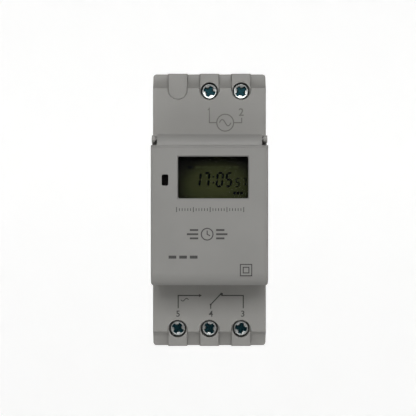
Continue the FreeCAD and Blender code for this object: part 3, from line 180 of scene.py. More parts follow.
def figure(text, x, z, height, face):
    """A generic printed number, turned upright and centred on a place on a face."""
    curve = bpy.data.curves.new("figure_" + text, "FONT")
    curve.body = text
    curve.extrude = PRINT_T / 2
    curve.resolution_u = 4
    curve.offset = 0.012
    writer = bpy.data.objects.new("figure_writer", curve)
    bpy.context.scene.collection.objects.link(writer)
    bpy.context.view_layer.update()
    flat = bpy.data.meshes.new_from_object(writer.evaluated_get(bpy.context.evaluated_depsgraph_get()))
    coordinates = np.empty(len(flat.vertices) * 3)
    flat.vertices.foreach_get("co", coordinates)
    coordinates = coordinates.reshape(-1, 3)
    low = coordinates.min(axis=0)
    high = coordinates.max(axis=0)
    size = height / (high[1] - low[1])
    across = (coordinates[:, 0] - (low[0] + high[0]) / 2) * size + x
    upright = (coordinates[:, 1] - (low[1] + high[1]) / 2) * size + z
    depth = np.where(coordinates[:, 2] > 0, face - PRINT_T, face)
    faces = [tuple(polygon.vertices) for polygon in flat.polygons]
    bpy.data.objects.remove(writer)
    bpy.data.curves.remove(curve)
    bpy.data.meshes.remove(flat)
    return np.stack([across, depth, upright], axis=1), faces


# ======================================================================
# Materials
# ======================================================================

def new_material(name):
    """A material with its principled shader."""
    material = bpy.data.materials.new(name)
    material.use_nodes = True
    tree = material.node_tree
    return material, tree, tree.nodes["Principled BSDF"]


def object_place(tree):
    """Coordinates fixed to the part."""
    return tree.nodes.new("ShaderNodeTexCoord").outputs["Object"]


def speckle(tree, size, detail=3.0, stretch=(1, 1, 1)):
    """Noise whose features measure about the given size; a stretch below 1 lengthens them along that axis."""
    mapping = tree.nodes.new("ShaderNodeMapping")
    mapping.inputs["Scale"].default_value = stretch
    tree.links.new(object_place(tree), mapping.inputs["Vector"])
    noise = tree.nodes.new("ShaderNodeTexNoise")
    noise.inputs["Scale"].default_value = 1 / size
    noise.inputs["Detail"].default_value = detail
    tree.links.new(mapping.outputs["Vector"], noise.inputs["Vector"])
    return noise.outputs["Fac"]


def shades(tree, factor, stops):
    """Colours picked along a factor; a stop is a position and a colour."""
    ramp = tree.nodes.new("ShaderNodeValToRGB")
    elements = ramp.color_ramp.elements
    while len(elements) < len(stops):
        elements.new(1.0)
    for element, (position, colour) in zip(elements, stops):
        element.position = position
        element.color = (*colour, 1.0)
    tree.links.new(factor, ramp.inputs["Fac"])
    return ramp.outputs["Color"]


def span(tree, factor, low, high):
    """A factor from 0 to 1 mapped onto a range."""
    ranged = tree.nodes.new("ShaderNodeMapRange")
    ranged.inputs["To Min"].default_value = low
    ranged.inputs["To Max"].default_value = high
    tree.links.new(factor, ranged.inputs["Value"])
    return ranged.outputs["Result"]


def blended(tree, kind, factor, first, second):
    """Two colours mixed; the factor is a number or a socket."""
    mix = tree.nodes.new("ShaderNodeMix")
    mix.data_type = "RGBA"
    mix.blend_type = kind
    sockets = [mix.inputs["Factor"], mix.inputs[6], mix.inputs[7]]
    for socket, value in zip(sockets, (factor, first, second)):
        if isinstance(value, bpy.types.NodeSocket):
            tree.links.new(value, socket)
        elif isinstance(value, tuple):
            socket.default_value = (*value, 1.0)
        else:
            socket.default_value = value
    return mix.outputs[2]


def relief(tree, shader, height, depth, strength=1.0, edge=0.0):
    """Bump of a real depth; edge rounds the shading of sharp corners by that radius."""
    bump = tree.nodes.new("ShaderNodeBump")
    bump.inputs["Distance"].default_value = depth
    bump.inputs["Strength"].default_value = strength
    tree.links.new(height, bump.inputs["Height"])
    if edge:
        bevel = tree.nodes.new("ShaderNodeBevel")
        bevel.samples = 4
        bevel.inputs["Radius"].default_value = edge
        tree.links.new(bevel.outputs["Normal"], bump.inputs["Normal"])
    tree.links.new(bump.outputs["Normal"], shader.inputs["Normal"])


def tint(colour, gain):
    """A colour made lighter or darker."""
    return tuple(min(1.0, channel * gain) for channel in colour)


def moulded_plastic(name, colour, roughness=0.52, grain=0.16 * MM, edge=0.12 * MM):
    """Moulded plastic: spark-eroded grain, faint flow mottling and slightly uneven gloss."""
    material, tree, shader = new_material(name)
    mottle = speckle(tree, 14 * MM, 4.0)
    fine = speckle(tree, grain, 3.0)
    body = shades(tree, mottle, [(0.35, tint(colour, 0.965)), (0.65, tint(colour, 1.03))])
    dots = shades(tree, fine, [(0.3, (0.90, 0.90, 0.90)), (0.7, (1.0, 1.0, 1.0))])
    tree.links.new(blended(tree, "MULTIPLY", 0.6, body, dots), shader.inputs["Base Color"])
    tree.links.new(span(tree, mottle, roughness - 0.08, roughness + 0.08), shader.inputs["Roughness"])
    relief(tree, shader, fine, 0.012 * MM, 0.6, edge)
    return material


def plated_metal(name, colour, roughness=0.28, stretch=(1, 1, 1), stain=(0.9, 0.86, 0.72), painted_recess_shade=None):
    """Plated steel or brass: fine drawn marks, cloudy patches and a slight passivation tint.

    Where the mesh's recess mask is 1 the metal takes the given recess colour: painted shade that darkens the
    pressed recess to a near-black teal.
    """
    material, tree, shader = new_material(name)
    cloud = speckle(tree, 2.2 * MM, 4.0)
    marks = speckle(tree, 0.12 * MM, 2.0, stretch)
    body = shades(tree, cloud, [(0.3, tint(colour, 0.85)), (0.7, tint(colour, 1.06))])
    tinted = blended(tree, "MULTIPLY", span(tree, cloud, 0.0, 0.5), body, stain)
    # Painted shade: the recess mask mixes the metal towards the dark recess colour.
    if painted_recess_shade:
        depth = tree.nodes.new("ShaderNodeAttribute")
        depth.attribute_name = "recess_shade_mask"
        tinted = blended(tree, "MIX", depth.outputs["Fac"], tinted, painted_recess_shade)
    tree.links.new(tinted, shader.inputs["Base Color"])
    shader.inputs["Metallic"].default_value = 1.0
    tree.links.new(span(tree, marks, roughness - 0.08, roughness + 0.1), shader.inputs["Roughness"])
    relief(tree, shader, marks, 0.006 * MM, 0.5, 0.05 * MM)
    return material


def clear_lens():
    """Clear acrylic: almost no body colour, a sharp reflection, and a breath of haze from handling."""
    material, tree, shader = new_material("clear_lens")
    haze = speckle(tree, 3.5 * MM, 5.0)
    tree.links.new(shades(tree, haze, [(0.4, (0.003, 0.0033, 0.003)), (0.7, (0.008, 0.0083, 0.008))]),
                   shader.inputs["Base Color"])
    tree.links.new(span(tree, haze, 0.04, 0.12), shader.inputs["Roughness"])
    shader.inputs["Alpha"].default_value = 0.08
    shader.inputs["Specular IOR Level"].default_value = 0.12
    return material


def smoked_lens():
    """Smoked light pipe: nearly black, glossy, with faint internal streaks."""
    material, tree, shader = new_material("smoked_lens")
    streak = speckle(tree, 0.9 * MM, 3.0, (1, 0.3, 1))
    tree.links.new(shades(tree, streak, [(0.3, (0.001, 0.0008, 0.0008)), (0.7, (0.004, 0.002, 0.002))]),
                   shader.inputs["Base Color"])
    tree.links.new(span(tree, streak, 0.12, 0.25), shader.inputs["Roughness"])
    shader.inputs["Specular IOR Level"].default_value = 0.1
    return material


def lcd_glass():
    """Reflective display: olive polariser with painted shade from the window's walls, darker towards the
    left, the top corners and the edges.
    """
    material, tree, shader = new_material("lcd_glass")
    mid_x = (lcd_low.x + lcd_high.x) / 2 + 1.4 * MM
    mid_z = (lcd_low.z + lcd_high.z) / 2 - 2.6 * MM
    mid = np.array([mid_x, lcd_face, mid_z])
    spread = np.array([14.5, 50.0, 9.5]) * MM
    mapping = tree.nodes.new("ShaderNodeMapping")
    mapping.vector_type = "POINT"
    mapping.inputs["Location"].default_value = tuple(-mid / spread)
    mapping.inputs["Scale"].default_value = tuple(1 / spread)
    tree.links.new(object_place(tree), mapping.inputs["Vector"])
    painted_shade_falloff = tree.nodes.new("ShaderNodeTexGradient")
    painted_shade_falloff.gradient_type = "SPHERICAL"
    tree.links.new(mapping.outputs["Vector"], painted_shade_falloff.inputs["Vector"])
    # Painted shade: the olive darkens from a lower middle to near black at the left, the top corners and the
    # edges, where the window's walls shadow the display.
    olive = shades(tree, painted_shade_falloff.outputs["Fac"], [
        (0.0, (0.004, 0.0042, 0.003)),
        (0.18, (0.013, 0.014, 0.006)),
        (0.45, (0.040, 0.046, 0.0165)),
        (1.0, (0.056, 0.064, 0.0215)),
    ])
    grain = speckle(tree, 0.35 * MM, 4.0)
    fine = shades(tree, grain, [(0.3, (0.8, 0.8, 0.78)), (0.7, (1.0, 1.0, 1.0))])
    tree.links.new(blended(tree, "MULTIPLY", 0.7, olive, fine), shader.inputs["Base Color"])
    tree.links.new(span(tree, grain, 0.2, 0.3), shader.inputs["Roughness"])
    shader.inputs["Specular IOR Level"].default_value = 0.08
    return material


def printed_ink(name, colour, wear=0.5, sheen=0.5):
    """Pad-printed ink: dense, with small thin spots where the plastic's grain shows through."""
    material, tree, shader = new_material(name)
    spots = speckle(tree, 0.22 * MM, 4.0)
    tree.links.new(shades(tree, spots, [(0.3, tint(colour, 1 + wear)), (0.55, colour)]),
                   shader.inputs["Base Color"])
    tree.links.new(span(tree, spots, 0.45, 0.65), shader.inputs["Roughness"])
    shader.inputs["Specular IOR Level"].default_value = sheen
    return material


def circuit_board():
    """Green solder mask over darker and lighter copper runs."""
    material, tree, shader = new_material("circuit_board")
    mapping = tree.nodes.new("ShaderNodeMapping")
    mapping.inputs["Scale"].default_value = (1 / (1.3 * MM), 0.001, 1 / (1.3 * MM))
    tree.links.new(object_place(tree), mapping.inputs["Vector"])
    runs = tree.nodes.new("ShaderNodeTexBrick")
    runs.inputs["Scale"].default_value = 1.0
    runs.inputs["Mortar Size"].default_value = 0.06
    runs.inputs["Color1"].default_value = (0.012, 0.10, 0.04, 1)
    runs.inputs["Color2"].default_value = (0.02, 0.14, 0.06, 1)
    runs.inputs["Mortar"].default_value = (0.006, 0.055, 0.022, 1)
    turned = tree.nodes.new("ShaderNodeMapping")
    turned.inputs["Rotation"].default_value = (math.radians(90), 0, 0)
    tree.links.new(mapping.outputs["Vector"], turned.inputs["Vector"])
    tree.links.new(turned.outputs["Vector"], runs.inputs["Vector"])
    cloud = speckle(tree, 5 * MM, 3.0)
    shade = shades(tree, cloud, [(0.3, (0.8, 0.8, 0.8)), (0.7, (1.0, 1.0, 1.0))])
    tree.links.new(blended(tree, "MULTIPLY", 0.8, runs.outputs["Color"], shade), shader.inputs["Base Color"])
    tree.links.new(span(tree, cloud, 0.25, 0.4), shader.inputs["Roughness"])
    relief(tree, shader, runs.outputs["Fac"], 0.03 * MM, 0.5)
    return material


def banded(name, first, second, pitch, axis, roughness=0.4, metallic=0.0, depth=0.02 * MM):
    """Stripes of two colours across one axis: windings, resistor bands, a ribbon's cores."""
    material, tree, shader = new_material(name)
    wave = tree.nodes.new("ShaderNodeTexWave")
    wave.bands_direction = axis
    wave.inputs["Scale"].default_value = 0.314 / pitch
    wave.inputs["Distortion"].default_value = 0.0
    tree.links.new(object_place(tree), wave.inputs["Vector"])
    cloud = speckle(tree, 3 * MM, 3.0)
    stripes = shades(tree, wave.outputs["Fac"], [(0.25, first), (0.75, second)])
    shade = shades(tree, cloud, [(0.3, (0.85, 0.85, 0.85)), (0.7, (1.0, 1.0, 1.0))])
    tree.links.new(blended(tree, "MULTIPLY", 1.0, stripes, shade), shader.inputs["Base Color"])
    shader.inputs["Metallic"].default_value = metallic
    tree.links.new(span(tree, cloud, roughness - 0.06, roughness + 0.08), shader.inputs["Roughness"])
    relief(tree, shader, wave.outputs["Fac"], depth, 0.6)
    return material


def soft_rubber(name, colour):
    """Moulded silicone: matt, slightly dusty."""
    material, tree, shader = new_material(name)
    dust = speckle(tree, 1.1 * MM, 5.0)
    tree.links.new(shades(tree, dust, [(0.35, tint(colour, 0.93)), (0.75, tint(colour, 1.12))]),
                   shader.inputs["Base Color"])
    tree.links.new(span(tree, dust, 0.55, 0.75), shader.inputs["Roughness"])
    relief(tree, shader, dust, 0.01 * MM, 0.5, 0.1 * MM)
    return material


GREY = (0.262, 0.257, 0.243)
FLAP_GREY = (0.232, 0.229, 0.218)
INK = (0.030, 0.029, 0.028)

MATERIALS = {
    "housing_grey": moulded_plastic("housing_grey", GREY),
    "flap_grey": moulded_plastic("flap_grey", FLAP_GREY),
    "clear_window": clear_lens(),
    "smoked_lens": smoked_lens(),
    "lamp_epoxy": soft_rubber("lamp_epoxy", (0.35, 0.03, 0.03)),
    "silicone": soft_rubber("silicone", (0.30, 0.30, 0.29)),
    "lcd_glass": lcd_glass(),
    "black_plastic": moulded_plastic("black_plastic", (0.02, 0.02, 0.022), 0.42),
    "circuit_board": circuit_board(),
    "zinc_steel": plated_metal("zinc_steel", (0.62, 0.63, 0.64), 0.34, (1, 0.15, 1)),
    # The screws' recess colour is painted shade: a near-black teal where the recess is deep.
    "screw_zinc": plated_metal("screw_zinc", (0.44, 0.46, 0.47), 0.27, painted_recess_shade=(0.010, 0.036, 0.045)),
    "bright_metal": plated_metal("bright_metal", (0.74, 0.73, 0.70), 0.22),
    "ceramic_parts": banded("ceramic_parts", (0.06, 0.05, 0.045), (0.42, 0.33, 0.22), 2.6 * MM, "Z"),
    "ribbon_grey": banded("ribbon_grey", (0.30, 0.30, 0.30), (0.48, 0.48, 0.47), 1.27 * MM, "X", 0.5,
                          depth=0.1 * MM),
    "white_plastic": moulded_plastic("white_plastic", (0.74, 0.72, 0.66), 0.45),
    "relay_blue": moulded_plastic("relay_blue", (0.022, 0.07, 0.26), 0.35),
    "copper_winding": banded("copper_winding", (0.28, 0.09, 0.035), (0.62, 0.27, 0.12), 0.14 * MM, "Y", 0.3,
                             metallic=0.9),
    "terminal_brass": plated_metal("terminal_brass", (0.70, 0.55, 0.30), 0.3, (0.15, 1, 1)),
    "capacitor_yellow": moulded_plastic("capacitor_yellow", (0.62, 0.42, 0.04), 0.3),
    "capacitor_sleeve": banded("capacitor_sleeve", (0.02, 0.03, 0.06), (0.025, 0.035, 0.07), 5 * MM, "X",
                               0.3),
    "varistor_blue": soft_rubber("varistor_blue", (0.03, 0.13, 0.38)),
    "resistor_body": banded("resistor_body", (0.33, 0.50, 0.52), (0.10, 0.07, 0.05), 2.0 * MM, "Z", 0.35),
    "latch_grey": moulded_plastic("latch_grey", (0.055, 0.055, 0.056), 0.5),
    "spring_steel": plated_metal("spring_steel", (0.60, 0.60, 0.61), 0.25, (1, 1, 0.2)),
    "key_plastic": soft_rubber("key_plastic", (0.46, 0.46, 0.44)),
    "label_film": moulded_plastic("label_film", (0.62, 0.62, 0.60), 0.38, 0.3 * MM),
}
ink_dark = printed_ink("ink_dark", INK)
ink_grey = printed_ink("ink_grey", (0.115, 0.112, 0.103), 0.3)
lcd_dark = printed_ink("lcd_dark", (0.0010, 0.0018, 0.0034), 0.1, 0.0)
lcd_ghost = printed_ink("lcd_ghost", (0.034, 0.039, 0.0135), 0.15, 0.04)

for subpart in frame["record"]["subparts"]:
    node = frame["nodes"][subpart["node"]]
    node.data.materials.clear()
    node.data.materials.append(MATERIALS[subpart["material_slot"]])


# ======================================================================
# Terminal screws
# ======================================================================

RECESS_TURN = {1: 24.0, 2: -38.0, 3: 12.0, 4: 52.0, 5: 35.0}    # degrees, as each screw was left
THREAD_PITCH = 0.6 * MM
THREAD_DEPTH = 0.22 * MM
THREAD_STEPS = 8             # rows of vertices in one pitch
SLOT_HALF = 0.6 * MM         # half width of the crossed bars and the slot
SLOT_END = 1.9 * MM          # radius that the shallow slot reaches
CROSS_HALF = 1.65 * MM       # half length of the crossed bars
CONE_R = 1.4 * MM
CONE_STEEP = 1.2
RECESS_DEEP = 1.3 * MM
SLOT_DEEP = 0.65 * MM
WALL_RUN = 0.06 * MM         # width that a recess wall's slope covers
HEAD_EDGE = 0.3 * MM         # rounding of the head's rim
HEAD_DISH = 0.23 * MM
HEAD_T = 2.2 * MM
SHANK_R = 1.75 * MM
POINT_LENGTH = 0.25 * MM
POINT_TAPER = 0.35 * MM
TURN_STEPS = 144
FACE_STEPS = 34


def ramp_in(distance):
    """1 inside an outline, 0 outside it, and a straight slope across the wall between."""
    return np.clip(0.5 - distance / WALL_RUN, 0, 1)


def terminal_screw(number):
    """A clamp screw: a profile of radius and depth turned through a full circle.

    The head is dished: its face sinks by HEAD_DISH from the rim to the middle. The recess is cut where two
    crossed bars, a cone between them or a shallower slot reach deeper than that. On the shank the radius
    falls by a triangle wave of the depth over the pitch plus the turn, which makes the thread. The second
    result is each vertex's recess depth as a share of SLOT_DEEP, up to 1: the mask for the painted shade in
    the recess.
    """
    low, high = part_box("terminal_screw_%d" % number)
    mid_x = (low.x + high.x) / 2
    mid_z = (low.z + high.z) / 2
    head_r = (high.x - low.x) / 2
    front = low.y
    head_back = front + HEAD_T
    tip = high.y
    turn = np.linspace(0, 2 * math.pi, TURN_STEPS, endpoint=False)
    flat_r = np.linspace(0.0, head_r - HEAD_EDGE, FACE_STEPS)
    arc = np.linspace(0, math.pi / 2, 7)[1:]
    edge_r = head_r - HEAD_EDGE + HEAD_EDGE * np.sin(arc)
    edge_y = front + HEAD_EDGE * (1 - np.cos(arc))
    side_y = np.linspace(front + HEAD_EDGE, head_back, 8)[1:]
    shank_y = np.arange(head_back, tip - POINT_LENGTH, THREAD_PITCH / THREAD_STEPS)
    radius = np.concatenate([flat_r, edge_r, np.full(len(side_y), head_r), [SHANK_R],
                             np.full(len(shank_y), SHANK_R), [SHANK_R - POINT_TAPER, 0.0]])
    dish_y = front + HEAD_DISH * (1 - flat_r / flat_r[-1])
    depth = np.concatenate([dish_y, edge_y, side_y, [head_back], shank_y, [tip, tip]])
    first_shank = len(flat_r) + len(edge_r) + len(side_y)
    last_shank = first_shank + 1 + len(shank_y)
    grid_r = np.repeat(radius[:, None], len(turn), axis=1)
    grid_y = np.repeat(depth[:, None], len(turn), axis=1)
    phase = (depth[first_shank:last_shank, None] / THREAD_PITCH + turn[None] / (2 * math.pi)) % 1.0
    grid_r[first_shank:last_shank] -= THREAD_DEPTH * np.abs(2 * phase - 1)
    angle = turn + math.radians(RECESS_TURN[number])
    across = grid_r * np.cos(angle)
    along = grid_r * np.sin(angle)
    bars = np.minimum(np.maximum(np.abs(across) - CROSS_HALF, np.abs(along) - SLOT_HALF),
                      np.maximum(np.abs(along) - CROSS_HALF, np.abs(across) - SLOT_HALF))
    slot = np.maximum(np.abs(along) - SLOT_HALF, grid_r - SLOT_END)
    cone = np.clip(1 - grid_r / CONE_R, 0, 1) * CONE_STEEP
    recess = np.maximum(RECESS_DEEP * ramp_in(bars), SLOT_DEEP * ramp_in(slot))
    recess = np.maximum(recess, RECESS_DEEP * np.clip(cone, 0, 1))
    in_head = np.arange(len(radius)) < first_shank
    floor = np.minimum(front + recess, head_back)
    grid_y = np.where(in_head[:, None], np.maximum(grid_y, floor), grid_y)
    grid = np.stack([mid_x + grid_r * np.cos(turn), grid_y, mid_z + grid_r * np.sin(turn)], axis=-1)
    hub = np.array([[mid_x, float(grid_y[0].max()), mid_z], [mid_x, tip, mid_z]])
    shade = np.where(in_head[:, None], np.clip(recess / SLOT_DEEP, 0, 1), 0.0)
    shade[first_shank - 1:] = 0.0
    recess_shade_share = np.concatenate([shade[1:-1].reshape(-1), [1.0, 0.0]])
    return close_poles(grid[1:-1].reshape(-1, 3), len(turn), hub), recess_shade_share


def close_poles(vertices, columns, hub):
    """Grid faces with a fan to a pole at each end instead of flat caps."""
    index, faces = row_quads(len(vertices) // columns, columns)
    after = np.roll(index, -1, axis=1)
    first = len(vertices)
    faces += [(first, b, a) for a, b in zip(index[0].tolist(), after[0].tolist())]
    faces += [(first + 1, a, b) for a, b in zip(index[-1].tolist(), after[-1].tolist())]
    whole = np.concatenate([vertices, hub])
    return whole, outward(whole, faces)


for screw_number in RECESS_TURN:
    shape, recess_shade_share = terminal_screw(screw_number)
    screw = new_piece("screw_%d_looks" % screw_number, [shape], MATERIALS["screw_zinc"],
                      "screw_%d" % screw_number, smooth=True)
    # The recess mask darkens the screw's recess with painted shade in the screw_zinc material.
    recess_shade_mask = screw.data.attributes.new("recess_shade_mask", "FLOAT", "POINT")
    recess_shade_mask.data.foreach_set("value", recess_shade_share)
    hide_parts("terminal_screw_%d" % screw_number)


# ======================================================================
# Display segments
# ======================================================================

SLANT = 0.12
SEGMENT_ENDS = {
    "top": ((0, 2), (1, 2)),
    "upper_right": ((1, 2), (1, 1)),
    "lower_right": ((1, 1), (1, 0)),
    "bottom": ((0, 0), (1, 0)),
    "lower_left": ((0, 1), (0, 0)),
    "upper_left": ((0, 2), (0, 1)),
    "middle": ((0, 1), (1, 1)),
}
LIT = {
    0: ("top", "upper_right", "lower_right", "bottom", "lower_left", "upper_left"),
    1: ("upper_right", "lower_right"),
    5: ("top", "upper_left", "middle", "lower_right", "bottom"),
    7: ("top", "upper_right", "lower_right"),
}


def segment(start, end, half):
    """A six-cornered bar: both ends, and both sides set in from the ends by the half width."""
    start = np.asarray(start, float)
    end = np.asarray(end, float)
    along = (end - start) / np.linalg.norm(end - start)
    side = np.array([-along[1], along[0]])
    gap = along * half * 0.25
    points = [start + gap, start + gap + half * (along + side), end - gap - half * (along - side), end - gap,
              end - gap - half * (along + side), start + gap + half * (along - side)]
    return np.array(points)


def digit(value, x, z, width, height, half, lit):
    """The lit or unlit segments of one slanted digit whose lower left corner is at x and z."""
    plates = []
    for name, ends in SEGMENT_ENDS.items():
        if (name in LIT[value]) != lit:
            continue
        places = [(half + u * (width - 2 * half), half + v * (height - 2 * half) / 2) for u, v in ends]
        outline = segment(places[0], places[1], half)
        outline[:, 0] += x + SLANT * outline[:, 1]
        outline[:, 1] += z
        plates.append(plate(outline, lcd_face))
    return plates


def slanted_bar(x, z, width, height):
    """A parallelogram with the digits' slant."""
    lean = SLANT * height
    return plate([(x, z), (x + width, z), (x + width + lean, z + height), (x + lean, z + height)], lcd_face)


DISPLAY_DIGITS = (           # value, left, bottom, width, height and half stroke, in millimetres
    (1, -4.95, 6.85, 2.15, 4.75, 0.34),
    (7, -2.35, 6.85, 2.2, 4.75, 0.34),
    (0, 1.7, 6.85, 2.3, 4.75, 0.34),
    (5, 4.55, 6.85, 2.2, 4.75, 0.34),
    (5, 7.65, 6.95, 1.45, 2.9, 0.21),
    (7, 9.75, 6.95, 1.35, 2.9, 0.21),
)
COLON_X = 0.9
COLON_Z = (8.05, 9.85)
DISPLAY_BARS = (             # left, pitch, bottom, width and height, then how many and how many are lit
    (-6.7, 2.3, 12.6, 1.7, 0.8, 7, 1),
    (7.2, 1.05, 4.7, 0.8, 0.85, 4, 3),
)

lit_parts = []
ghost_parts = []
for value, x, z, width, height, half in DISPLAY_DIGITS:
    place = (x * MM, z * MM, width * MM, height * MM, half * MM)
    lit_parts += digit(value, *place, True)
    ghost_parts += digit(value, *place, False)
for z in COLON_Z:
    lit_parts.append(slanted_bar(COLON_X * MM, z * MM, 0.5 * MM, 0.5 * MM))
for left, pitch, bottom, width, height, count, lit_count in DISPLAY_BARS:
    for step in range(count):
        bar = slanted_bar((left + pitch * step) * MM, bottom * MM, width * MM, height * MM)
        (lit_parts if step < lit_count else ghost_parts).append(bar)
new_piece("display_figures", lit_parts, lcd_dark, "case")
new_piece("display_unlit_figures", ghost_parts, lcd_ghost, "case")


# ======================================================================
# Printed marks
# ======================================================================

def line(points, width=LINE_W, face=shoulder_face):
    """A printed line through places given in millimetres."""
    return carried_bar(np.asarray(points, float) * MM, width, face)


def dot(x, z, radius, face=shoulder_face):
    """A printed spot."""
    return plate(circle_path(x * MM, z * MM, radius * MM, 24), face)


def wave_path(x, z, half, rise):
    """One period of a sine, 2 * half long."""
    turn = np.linspace(-1, 1, 25)
    return np.stack([x + half * turn, z + rise * np.sin(math.pi * turn)], axis=1)


def arrow_head(x, z, length, half):
    """A printed triangle that points to +X, its tip at x."""
    corners = np.array([(x - length, z - half), (x, z), (x - length, z + half)])
    return plate(corners * MM, shoulder_face)


SUPPLY_Z = 27.45             # level of the supply diagram's line, in millimetres
SOURCE_X = 4.96              # middle of its circle
SWITCH_Z = -26.98            # level of the output diagram's line
FIGURE_Z = -32.7

supply_marks = [
    line([(-0.45, 31.35), (0.0, 32.05), (0.0, SUPPLY_Z), (2.3, SUPPLY_Z)]),
    line([(7.6, SUPPLY_Z), (10.15, SUPPLY_Z), (10.15, 29.0)]),
    carried_bar(circle_path(SOURCE_X * MM, SUPPLY_Z * MM, 2.65 * MM), LINE_W, shoulder_face, closed=True),
    line(wave_path(SOURCE_X, SUPPLY_Z, 1.85, -1.0)),
    figure("2", 10.0 * MM, 30.8 * MM, 2.4 * MM, shoulder_face),
]
new_piece("supply_diagram", supply_marks, ink_grey, "case")

output_marks = [
    line([(-9.84, -31.0), (-9.84, SWITCH_Z), (-3.2, SWITCH_Z)]),
    arrow_head(-2.4, SWITCH_Z, 0.9, 0.5),
    line([(0.4, -31.15), (0.4, -29.85), (3.75, -26.3)]),
    dot(0.4, -29.85, 0.32),
    dot(3.8, -26.55, 0.45),
    line([(3.8, SWITCH_Z), (10.66, SWITCH_Z), (10.66, -31.0)]),
    line(wave_path(-7.8, -28.3, 1.2, 0.42), 0.24 * MM),
]
for text, x in (("5", -9.9), ("4", 0.44), ("3", 10.5)):
    output_marks.append(figure(text, x * MM, FIGURE_Z * MM, 1.95 * MM, shoulder_face))
new_piece("output_diagram", output_marks, ink_dark, "case")


def flap_line(points, width=0.3 * MM):
    """A line printed on the flap."""
    return line(points, width, flap_face)


def hour_scale():
    """A row of 25 ticks, one for each hour from 0 to 24, with every sixth one taller."""
    left = -9.9
    length = 20.2
    level = 0.1
    ticks = []
    for hour in range(25):
        x = left + hour * length / 24
        rise = 0.75 if hour % 6 == 0 else 0.4
        ticks.append(flap_line([(x, level - rise), (x, level + rise)], 0.22 * MM))
    return ticks


def clock_sign():
    """A dial with two hands, with three bars on each side; the middle bar is the longest."""
    x = -0.7
    z = -7.3
    parts = [
        carried_bar(circle_path(x * MM, z * MM, 1.75 * MM), 0.32 * MM, flap_face, closed=True),
        flap_line([(x, z + 1.1), (x, z), (x + 0.85, z - 0.5)]),
    ]
    for side in (-1, 1):
        for row in (-1, 0, 1):
            level = z + row * 1.25
            outer = 6.1 - 0.9 * abs(row)
            parts.append(flap_line([(x + side * 2.7, level), (x + side * outer, level)], 0.55 * MM))
    return parts


def short_bars():
    """Three blank bars in a row."""
    level = -14.2
    lefts = [-12.3 + 3.2 * step for step in range(3)]
    return [flap_line([(left, level), (left + 2.3, level)], 0.9 * MM) for left in lefts]


def outline_square(x, z, half, width, face):
    """A square printed as its outline."""
    corners = np.array([(-half, -half), (half, -half), (half, half), (-half, half)]) + np.array([x, z])
    return carried_bar(corners * MM, width, face, closed=True)


def double_square():
    """A square set inside a larger one."""
    return [outline_square(11.0, -18.1, half, 0.3 * MM, flap_face) for half in (1.7, 0.85)]


KEY_PROUD = 0.6 * MM         # keys in front of their panel
KEY_MARK_RISE = 2.6          # bars above the keys' middles, in millimetres
KEY_MARK_HALF = 1.6
RIM_W = 0.2 * MM             # outlines on the keys
STROKE_W = 0.25 * MM         # lines on the keys


def dial(x, z, radius, hands, face):
    """A small clock face; a hand is its angle from upright and its length over the radius."""
    parts = [carried_bar(circle_path(x * MM, z * MM, radius * MM, 32), RIM_W, face, closed=True)]
    for angle, length in hands:
        reach = radius * length
        tip = (x + reach * math.sin(math.radians(angle)), z + reach * math.cos(math.radians(angle)))
        parts.append(line([(x, z), tip], RIM_W, face))
    return parts


def key_symbol(key, x, z, face):
    """The sign on one key, about 2 mm across."""
    if key == "program":
        return [line([(x - 1.0, z + step), (x + 1.0, z + step)], STROKE_W, face) for step in (-0.7, 0.0, 0.7)]
    if key == "day":
        top_line = line([(x - 0.9, z + 0.45), (x + 0.9, z + 0.45)], STROKE_W, face)
        return [outline_square(x, z, 0.9, RIM_W, face), top_line]
    if key == "manual":
        corners = np.array([(x - 0.7, z - 0.8), (x + 0.9, z), (x - 0.7, z + 0.8)])
        return [plate(corners * MM, face)]
    if key == "recall":
        turn = np.radians(np.linspace(50, 340, 25))
        arc = np.stack([x + 0.85 * np.cos(turn), z + 0.85 * np.sin(turn)], axis=1)
        return [line(arc, STROKE_W, face)]
    hands = {"hour": [(90, 0.5)], "minute": [(0, 0.8)], "clock": [(0, 0.8), (120, 0.55)]}
    return dial(x, z, 0.95, hands[key], face)


panel_parts = []
for key in ("program", "day", "hour", "minute", "manual", "clock", "recall"):
    key_low, key_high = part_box("key_" + key)
    key_x = (key_low.x + key_high.x) / 2 / MM
    key_z = (key_low.z + key_high.z) / 2 / MM
    new_piece("key_%s_sign" % key, key_symbol(key, key_x, key_z, key_low.y), ink_dark, "button_" + key)
    level = key_z + KEY_MARK_RISE
    bar = [(key_x - KEY_MARK_HALF, level), (key_x + KEY_MARK_HALF, level)]
    panel_parts.append(line(bar, 0.4 * MM, key_low.y + KEY_PROUD))
new_piece("panel_marks", panel_parts, ink_dark, "case")


LABEL_ROWS = 11
LABEL_TOP_GAP = 4.0 * MM
LABEL_ROW_PITCH = 3.3 * MM
LABEL_ROW_LENGTHS = (14.0, 8.5, 11.0, 9.5, 12.5)    # millimetres
LABEL_BAR_T = 0.8 * MM


def label_bar(start, level, length):
    """A bar printed on the side label: a rectangle of depth and height, one print thickness proud."""
    end = start - length
    top = level + LABEL_BAR_T
    grid = []
    for x in (label_low.x, label_low.x - PRINT_T):
        grid.append([(x, start, level), (x, end, level), (x, end, top), (x, start, top)])
    return around_grid(np.array(grid))


label_parts = []
for row in range(LABEL_ROWS):
    level = label_high.z - LABEL_TOP_GAP - LABEL_ROW_PITCH * row
    length = LABEL_ROW_LENGTHS[row % len(LABEL_ROW_LENGTHS)] * MM
    label_parts.append(label_bar(label_high.y - 2.2 * MM, level, length))
    if row % 2:
        label_parts.append(label_bar(label_low.y + 4.6 * MM, level, 2.4 * MM))
new_piece("label_marks", label_parts, ink_dark, "case")


new_piece("flap_marks", hour_scale() + clock_sign() + short_bars() + double_square(), ink_dark, "flap")


# ======================================================================
# Stage, light and camera
# ======================================================================

